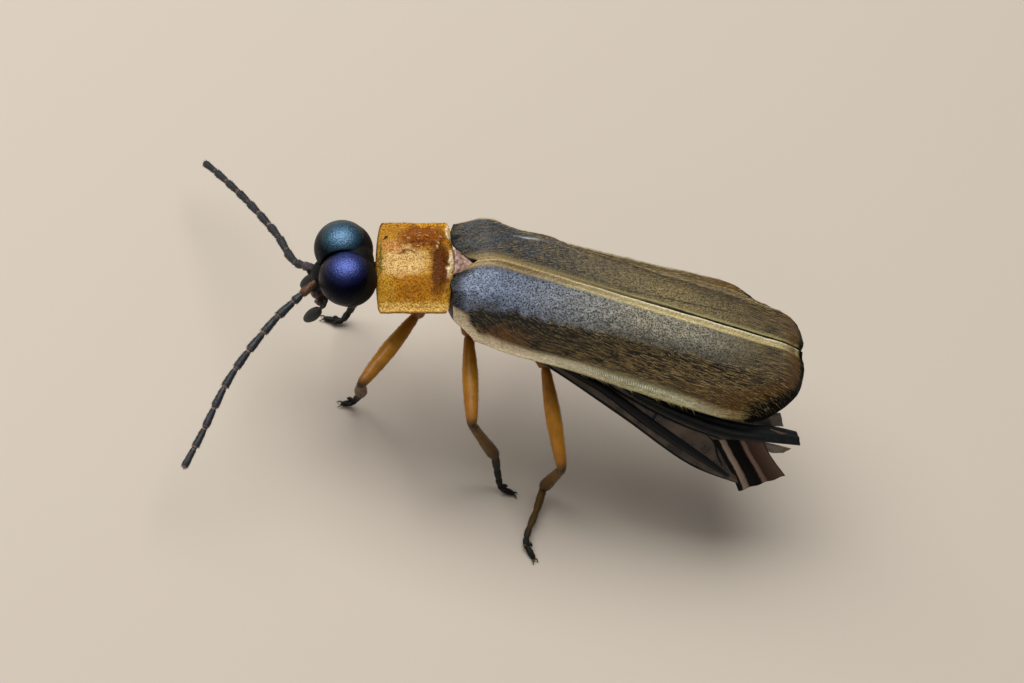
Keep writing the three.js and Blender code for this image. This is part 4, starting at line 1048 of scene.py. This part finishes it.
# %% Wing cases and their hairs
def case_shape(side):
    """One wing case: its outer face and an inner one close below it, thinner towards the side."""
    top, lie, marks = case_top(side)
    normal = np.cross(np.gradient(top, axis=0), np.gradient(top, axis=1))
    normal *= (-np.sign(normal[..., 2]) / np.linalg.norm(normal, axis=-1))[..., None]
    columns = np.linspace(0, 1, top.shape[1])
    depth = CASE_THICKNESS * (0.3 + 0.7 * np.minimum(1, (1 - columns) / 0.04))
    bottom = top + normal * depth[None, :, None]
    square = np.minimum(1, columns / 0.1)[None, :]
    bottom[..., 1] = top[..., 1] + (bottom[..., 1] - top[..., 1]) * square
    return placed(BACK, sheet(top, bottom, lie, **marks))


NAP = {-1: (HAIR_GREY, 420, 0.1, 0.0028), 1: (HAIR_PALE, 260, 0.18, 0.003)}
for side, word in SIDES:
    case = piece(f"wing_case_{word}", case_shape(side), WING_CASE[side])
    dress(case, "wing_case", f"elytron_{word}")
    for part, hair, lift, seed, weight in (
        ("nap", NAP[side], 0.12, 5, "coat"),
        ("hairs", (HAIR_PALE, 300, 0.2, 0.003), 0.05, 7, "side_coat"),
        ("fringe", (HAIR_PALE, 220, 0.15, 0.0034), 0.05, 9, "fringe_coat"),
    ):
        hairs(f"wing_case_{part}_{word}", case, "wing_case", *hair, lift, seed + side, weight)

# %% [markdown]
# ## Scutellum
# A small pinkish brown plate fills the corner between the shield and the two cases.


# %% Scutellum
def scutellum_shape():
    u, s = unit_grid(24, 24)
    half = 0.3 * (1 - u**1.4) + 0.015
    across = 2 * s - 1
    top = np.stack([0.02 + 0.46 * u, across * half, -0.48 + 0.05 * u - 0.05 * across**2], -1)
    return placed(BACK, sheet(top, top - np.array([0, 0, 0.08])))


dress(piece("scutellum_plate", scutellum_shape(), SCUTELLUM), "scutellum", "scutellum")

# %% [markdown]
# ## Chest and belly
# Under the cases lie the two hind rings of the chest, which carry the wings and four legs, and the
# belly with its ringed plates. In the male the last two rings are the pale light organ. Each plate
# overlaps the next like a roof tile, so the ring's size steps down along the belly.

# %% Chest, belly and light organ
CHEST = [(0.12, 0.5, 4.7, 3.95), (0.4, 0.76, 4.8, 3.62), (0.9, 0.98, 4.85, 3.42), (1.6, 1.04, 4.8, 3.3),
         (2.3, 1.02, 4.7, 3.28), (2.88, 0.9, 4.56, 3.36)]
BELLY = [(2.95, 0.88, 4.12, 3.36), (3.6, 0.96, 3.92, 3.26), (5, 0.98, 3.78, 3.2),
         (6.4, 0.92, 3.62, 3.14), (7.4, 0.72, 3.5, 3.1), (8.1, 0.4, 3.4, 3.14)]


def chest_shape():
    """The two hind rings of the chest, with a seam between them and one along the underside."""
    rings = oval_rings(CHEST, 90, 72, 2.1)
    middle = rings.mean(1, keepdims=True)
    seams = hump(rings[..., 0], 0.8 + 0.1 * np.abs(rings[..., 1]), 0.03)
    seams += 0.8 * hump(rings[..., 1], 0, 0.03) * (rings[..., 2] < 4)
    return placed(BODY, rings_body(middle + (rings - middle) * (1 - 0.05 * seams)[..., None]))


def belly_shape(start, end, plates):
    """A run of the belly in overlapping plates."""
    stations = np.array(BELLY, float)
    x = np.linspace(start, end, plates * 22)
    cut = [(v, *[float(profile(stations[:, [0, k]], v)) for k in (1, 2, 3)]) for v in x]
    rings = oval_rings(cut, len(x), 72, 2.3)
    middle = rings.mean(1, keepdims=True)
    inside = ((x - start) / (end - start) * plates) % 1
    step = 1 + 0.05 * inside**3 - 0.06 * hump(inside, 0, 0.06)
    return placed(BODY, rings_body(middle + (rings - middle) * step[:, None, None]))


dress(piece("hind_chest", chest_shape(), CHEST_SHELL), "underside", "thorax")
belly = dress(piece("belly_rings", belly_shape(2.9, 6.66, 5), BELLY_SHELL), "underside", "abdomen")
hairs("belly_hairs", belly, "underside", HAIR_AMBER, 140, 0.12, 0.004, 0.25, 17)
dress(piece("light_organ_rings", belly_shape(6.62, 8.1, 2), LANTERN), "light_organ", "light_organ")

# %% [markdown]
# ## Flying wings
# The flying wings fold under the cases. The right one is tucked away; the left one sags out from
# under its case and shows its front edge, its black veins, a clear window between them, a dark band
# where the film is folded double, and a pleated fan and two loose flaps at its end. The film is a
# sheet a few hundredths of a millimetre thick, each vein is a tube laid along it, and each fold a
# strip of its own.

# %% Wing surfaces
WING_ROOT = 1.3
FILM_THICKNESS = 0.025
FOLD_THICKNESS = 0.02
SAG_OUT = [(1.3, 1.2), (2.3, 1.36), (3.5, 1.7), (4.8, 2.08), (5.6, 2.28), (6.5, 2.42), (7.7, 2.45),
           (8.9, 2.35)]
SAG_HEIGHT = [(1.3, 4.0), (2.3, 3.98), (3.5, 3.72), (4.8, 3.34), (5.6, 3), (6.5, 2.66), (7.7, 2.34),
              (8.3, 2.05)]
SAG_END = [(0, 8.05), (0.52, 8.1), (0.6, 8.6), (0.66, 8.5), (0.72, 7.6), (0.8, 7.3), (0.86, 7.4),
           (0.93, 7.5), (1, 7.7)]
TUCKED_WIDTH = [(1.35, 0.5), (3, 0.72), (6.5, 0.9), (7.8, 0.8)]
TUCKED_END = [(0, 7.7), (0.6, 7.8), (1, 7.4)]


def sagging(x, s, lift=0.0):
    """Point on the left wing at x along the body; s runs from 0 by the back to 1 at the front edge."""
    under = (Matrix(BACK).inverted() @ BODY @ Vector((x, 0, 0))).x
    half = float(profile(CASE_HALF_WIDTH, under))

    def roof(y):
        return (BODY.inverted() @ BACK @ Vector((under, 0, float(roof_height(under, y))))).z

    outer = float(profile(SAG_OUT, x))
    course = [(0.1, roof(0.1) - 0.24), (half * 0.5, roof(half * 0.5) - 0.4),
              (half * 0.78, roof(half * 0.78) - 0.62)]
    if outer > half:
        course.append((half * 0.96, roof(half) - 0.44))
    course.append((outer, float(profile(SAG_HEIGHT, x))))
    y = 0.1 + (outer - 0.1) * s
    return np.array([x, -y, float(profile(course, y)) + lift])


def tucked(x, s):
    """Point on the right wing, in the frame of the back."""
    y = 0.1 + s * float(profile(TUCKED_WIDTH, x))
    return np.array([x, y, float(roof_height(x, y)) - 0.53 - 0.1 * s**2])


def film(surface, matrix, root, end, rows=60, columns=40):
    """A flying wing's film over its surface, from its root to an end that differs across it."""
    shares = [(s, float(profile(end, s)) - root) for s in np.linspace(0, 1, columns)]
    grid = [[surface(root + reach * u, s) for s, reach in shares] for u in np.linspace(0, 1, rows)]
    return placed(matrix, thin(np.array(grid), FILM_THICKNESS))


def thin(grid, thickness, lift=0.0):
    """A sheet of even thickness about a grid of points; lift, one value or one a column, raises it."""
    normal = np.cross(np.gradient(grid, axis=0), np.gradient(grid, axis=1))
    normal *= (np.sign(normal[..., 2].mean()) / np.linalg.norm(normal, axis=-1))[..., None]
    grid = grid + normal * (lift if np.isscalar(lift) else lift[None, :, None])
    return sheet(grid + normal * thickness / 2, grid - normal * thickness / 2)


def vein(surface, matrix, course, width):
    """A vein along places on a wing, thinner towards both ends."""
    path = smooth_path([surface(x, s) for x, s in course], 50)
    swell = np.sqrt(np.clip(np.sin(np.pi * np.linspace(0.04, 0.96, 50)), 0.05, 1))
    return placed(matrix, tube(path, width / 2 * swell, 10))


def ribbon(edge_a, edge_b, pleats, depth, crown=0.0, rows=60, columns=40):
    """A strip of film between two smooth edges, arched by crown and pleated; its places lie on the wing
    unless their second number is negative."""
    full = [[place if len(place) == 3 and place[1] < 0 else sagging(*place) for place in edge]
            for edge in (edge_a, edge_b)]
    a, b = [smooth_path(edge, rows)[:, None] for edge in full]
    s = np.linspace(0, 1, columns)
    arch = crown * np.sin(np.pi * s) + depth * np.sin(2 * np.pi * pleats * s)
    return placed(BODY, thin(a + (b - a) * s[None, :, None], FOLD_THICKNESS, arch))


# %% Flying wings
left = film(sagging, BODY, WING_ROOT, SAG_END)
dress(piece("flying_wing_left", left, FILM), "flying_wing", "hindwing_left")
right = film(tucked, BACK, TUCKED_WIDTH[0][0], TUCKED_END)
dress(piece("flying_wing_right", right, FILM), "flying_wing", "hindwing_right")
LEFT_VEINS = [
    # width, then places on the wing
    (0.06, [(1.6, 0.97), (3, 0.985), (4.6, 0.995), (6.4, 1.0), (7.8, 1.0)]),
    (0.23, [(2.4, 0.9), (3.4, 0.85), (4.0, 0.84), (4.9, 0.89), (6.0, 0.91), (6.7, 0.93), (7.4, 0.98)]),
    (0.07, [(5.3, 0.79), (5.2, 0.9)]),
    (0.06, [(6.6, 0.77), (6.85, 0.8), (7.0, 0.87), (7.2, 0.93)]),
    (0.06, [(3.2, 0.74), (4.2, 0.77), (5.3, 0.79), (6.2, 0.78), (7.0, 0.755)]),
]
left_veins = joined(*[vein(sagging, BODY, places, width) for width, places in LEFT_VEINS])
courses = [[(1.6, s), (4, s), (7.2, s)] for s in (0.34, 0.64, 0.92)]
right_veins = joined(*[vein(tucked, BACK, course, 0.08) for course in courses])
dress(piece("wing_veins_left", left_veins, VEIN), "flying_wing")
dress(piece("wing_veins_right", right_veins, VEIN), "flying_wing")

BAND_LIFT = 0.06
BAND_INNER = [(4.2, 0.71), (4.78, 0.69), (5.92, 0.65), (6.96, 0.62), (7.61, 0.6), (8.16, 0.56),
              (8.76, 0.56)]
BAND_OUTER = [(4.2, 0.74), (5.42, 0.78), (6.22, 0.775), (6.62, 0.765), (7.26, 0.745), (8.01, 0.71),
              (8.9, 0.69)]
edges = [[(*place, BAND_LIFT) for place in edge] for edge in (BAND_INNER, BAND_OUTER)]
dress(piece("folded_band", ribbon(*edges, 2.5, 0.01, 0.06), FOLD), "flying_wing")
fan = ribbon([(6.8, 0.79, 0.05), (7.1, 0.87, 0.04), (7.45, 0.95, 0.0), (7.8, -2.5, 2.1)],
             [(7.98, 0.7, 0.05), (8.3, 0.78, 0.03), (8.8, 0.885, 0.02)], 3, 0.018)
dress(piece("pleated_fan", fan, FAN), "flying_wing")
flaps = joined(
    ribbon([(7.5, 0.49), (7.9, 0.47), (8.28, 0.45)], [(7.8, 0.56), (8.1, 0.55), (8.46, 0.53)], 1, 0.02),
    ribbon([(8.0, 0.7), (8.3, 0.7), (8.72, 0.71)],
           [(8.06, 0.73), (8.26, 0.755), (8.58, 0.745)], 1, 0.01),
    ribbon([(8.1, 0.6, 0.07), (8.4, 0.61, 0.07), (8.72, 0.615, 0.06)],
           [(8.1, 0.61, 0.07), (8.4, 0.635, 0.07), (8.7, 0.65, 0.06)], 0, 0),
)
dress(piece("loose_flaps", flaps, FLAP), "flying_wing")

# %% [markdown]
# ## Legs
# Each leg has a stout hip joint, a spindle-shaped amber thigh, a slim shin and a foot of five
# segments with two soft lobes and a pair of claws. All six come from one table of places: hip
# joint, hip, knee, ankle and the way of the foot along the ground.

# %% Leg places
LEGS = {
    "fore_left": [(-0.42, -0.3, 3.85), (-0.3, -0.36, 3.47), (-1.32, -1.94, 2.68), (-0.82, -1.17, 1.13),
                  (-0.68, -0.88, 0.45), (-0.72, -0.84, 0.14), (-0.9, -0.86, 0.06)],
    "fore_right": [(-0.42, 0.3, 3.85), (-0.3, 0.36, 3.47), (-0.68, 1.6, 2.8), (-0.94, 1.3, 1.1),
                   (-0.88, 1.42, 0.3), (-1, 1.28, 0.13), (-1.36, 1.3, 0.06)],
    "mid_left": [(0.8, -0.42, 3.75), (0.91, -0.55, 3.4), (1.17, -2.6, 2.92), (2.29, -2.26, 1.3),
                 (2.66, -2.3, 0.5), (2.86, -2.34, 0.16), (3.17, -2.38, 0.06)],
    "mid_right": [(0.8, 0.42, 3.75), (0.91, 0.55, 3.4), (1.7, 2.35, 2.85), (2.3, 2.5, 1.15),
                  (2.55, 2.7, 0.45), (2.75, 2.85, 0.16), (3.05, 3.05, 0.06)],
    "hind_left": [(2.3, -0.45, 3.6), (2.8, -0.8, 3.12), (3.57, -2.8, 2.13), (3.77, -2.28, 0.42),
                  (3.68, -2.76, 0.22), (3.45, -3.6, 0.14), (3.66, -3.96, 0.06)],
    "hind_right": [(2.3, 0.45, 3.6), (2.8, 0.8, 3.12), (3.9, 2.6, 2.4), (4.6, 2.7, 0.55),
                   (4.75, 3, 0.25), (5, 3.55, 0.14), (5.12, 3.95, 0.06)],
}
THIGH_RADIUS = 0.168
SHIN_RADIUS = 0.125
FOOT_RADIUS = 0.095


def thigh(places):
    """The hip joint and the spindle-shaped thigh, which runs a little past the knee."""
    hip_joint, hip, knee = [np.array(p) for p in places[:3]]
    width = [(0, 0.2), (0.04, 0.55), (0.14, 0.75), (0.45, 1.05), (0.8, 0.86), (0.95, 0.62), (1, 0.25)]
    reach = knee + (knee - hip) / np.linalg.norm(knee - hip) * 0.1
    stem = tube(smooth_path([hip_joint, hip], 12), 0.22 - 0.06 * np.linspace(0, 1, 12), 24)
    stem["lay"] = stem["lay"] * [0.06, 1]
    radii = THIGH_RADIUS * profile(width, np.linspace(0, 1, 40))
    return placed(BODY, joined(stem, tube(smooth_path([hip, reach], 40), radii, 28)))


def shin(places):
    width = [(0, 0.3), (0.05, 0.75), (0.3, 0.85), (0.85, 1.1), (0.97, 0.9), (1, 0.4)]
    radii = SHIN_RADIUS * profile(width, np.linspace(0, 1, 30))
    return placed(BODY, tube(smooth_path([np.array(p) for p in places[2:4]], 30), radii, 20))


def foot(places):
    """Five segments, two soft lobes and a pair of claws, with nothing below the floor."""
    path = smooth_path(places[3:], 90)
    t = np.linspace(0, 1, 90)
    inside = np.interp(t, [0, 0.34, 0.56, 0.72, 0.84, 1.0], range(6)) % 1
    width = FOOT_RADIUS * (1 - 0.3 * t) * (0.66 + 0.34 * np.sin(np.pi * inside) ** 0.5)
    ahead = np.append((path[-1] - path[-8])[:2], 0)
    ahead /= np.linalg.norm(ahead)
    aside = np.array([-ahead[1], ahead[0], 0])
    lobe, tip = path[70], path[-1]
    parts = [tube(path, width, 16)]
    for side in (-1, 1):
        out = aside * side
        soft = np.array([lobe, lobe + out * 0.06 + ahead * 0.05, lobe + out * 0.08 + ahead * 0.14])
        soft[:, 2] = np.maximum(soft[:, 2], 0.05)
        parts.append(tube(smooth_path(soft, 12), 0.045 * np.sin(np.linspace(0.3, 2.9, 12)), 12))
        claw = np.array([tip, tip + out * 0.05 + ahead * 0.05, tip + out * 0.07 + ahead * 0.11])
        claw[:, 2] = [0.06, 0.075, 0.01]
        parts.append(tube(smooth_path(claw, 12), np.linspace(0.022, 0.005, 12), 8))
    shape = placed(BODY, joined(*parts))
    shape["points"][:, 2] = np.maximum(shape["points"][:, 2], 0)
    return shape


# %% Legs and their hairs
for name, places in LEGS.items():
    upper = dress(piece(f"{name}_thigh", thigh(places), THIGH), "femur", f"{name}_femur")
    lower = dress(piece(f"{name}_shin", shin(places), SHIN), "shin", f"{name}_tibia")
    foot_shell = HIND_FOOT if "hind" in name else FOOT_SHELL
    sole = dress(piece(f"{name}_foot", foot(places), foot_shell), "foot", f"{name}_tarsus")
    hairs(f"{name}_thigh_hairs", upper, "femur", HAIR_AMBER, 120, 0.08, 0.004, 0.3, 11)
    hairs(f"{name}_shin_hairs", lower, "shin", HAIR_DARK, 200, 0.08, 0.004, 0.4, 12)
    hairs(f"{name}_foot_hairs", sole, "foot", HAIR_DARK, 400, 0.05, 0.004, 0.5, 13)

# %% [markdown]
# ## Floor, light and camera
# The model stands on a plain pale floor. A broad soft light hangs above and a little towards the
# head and the far side, which is where the photograph's shine lies on the eyes, and a faint sky
# fills the shadows. The camera looks down on the insect from its left, with a long lens.

# %% Floor, light and camera
FLOOR_SIZE = 900
LOOK_AT = (-0.502, -1.371, 4.75)
CAMERA_DISTANCE = 110
CAMERA_AZIMUTH = -28.69
CAMERA_ELEVATION = 52.84
CAMERA_ROLL = 34.5
LENS = 177.9

scene = bpy.context.scene
floor_mesh = bpy.data.meshes.new("floor")
half = FLOOR_SIZE / 2 * MM
corners = [(-half, -half, 0), (half, -half, 0), (half, half, 0), (-half, half, 0)]
floor_mesh.from_pydata(corners, [], [(0, 1, 2, 3)])
floor_mesh.materials.append(finish_of("matt_pale_board", "#d3c6b5", 0.9)[0])
floor = bpy.data.objects.new("floor", floor_mesh)
scene.collection.objects.link(floor)


def soft_light(name, towards, distance, wide, deep, power):
    """A soft light, wide along the insect, at a direction and distance from it, in millimetres."""
    lamp = bpy.data.lights.new(name, "AREA")
    lamp.shape = "RECTANGLE"
    lamp.size, lamp.size_y = wide * MM, deep * MM
    lamp.energy = power
    made = bpy.data.objects.new(name, lamp)
    way = Vector(towards).normalized()
    beside = (Vector((1, 0, 0)) - way * way.x).normalized()
    turn = Matrix((beside, way.cross(beside), way)).transposed()
    made.matrix_world = Matrix.Translation((Vector((0, 0, 4)) + way * distance) * MM) @ turn.to_4x4()
    scene.collection.objects.link(made)


soft_light("window", (-0.38, 0.32, 0.87), 130, 160, 105, 0.22)
soft_light("fill", (-0.4, -0.9, 0.5), 200, 120, 120, 0.02)
world = bpy.data.worlds.new("pale_sky")
world.use_nodes = True
world.node_tree.nodes["Background"].inputs["Color"].default_value = linear("#e6e9ee")
world.node_tree.nodes["Background"].inputs["Strength"].default_value = 0.2
scene.world = world
scene.view_settings.view_transform = "Standard"

camera = bpy.data.objects.new("camera", bpy.data.cameras.new("camera"))
camera.data.lens = LENS
camera.data.clip_start, camera.data.clip_end = 0.005, 5
turn = (Matrix.Rotation(math.radians(CAMERA_AZIMUTH), 4, "Z")
        @ Matrix.Rotation(math.radians(90 - CAMERA_ELEVATION), 4, "X")
        @ Matrix.Rotation(math.radians(CAMERA_ROLL), 4, "Z"))
away = turn.to_3x3() @ Vector((0, 0, CAMERA_DISTANCE))
camera.matrix_world = Matrix.Translation((Vector(LOOK_AT) + away) * MM) @ turn
scene.collection.objects.link(camera)
scene.camera = camera
print("camera right and up:", [[round(v, 3) for v in turn.col[k][:3]] for k in (0, 1)])
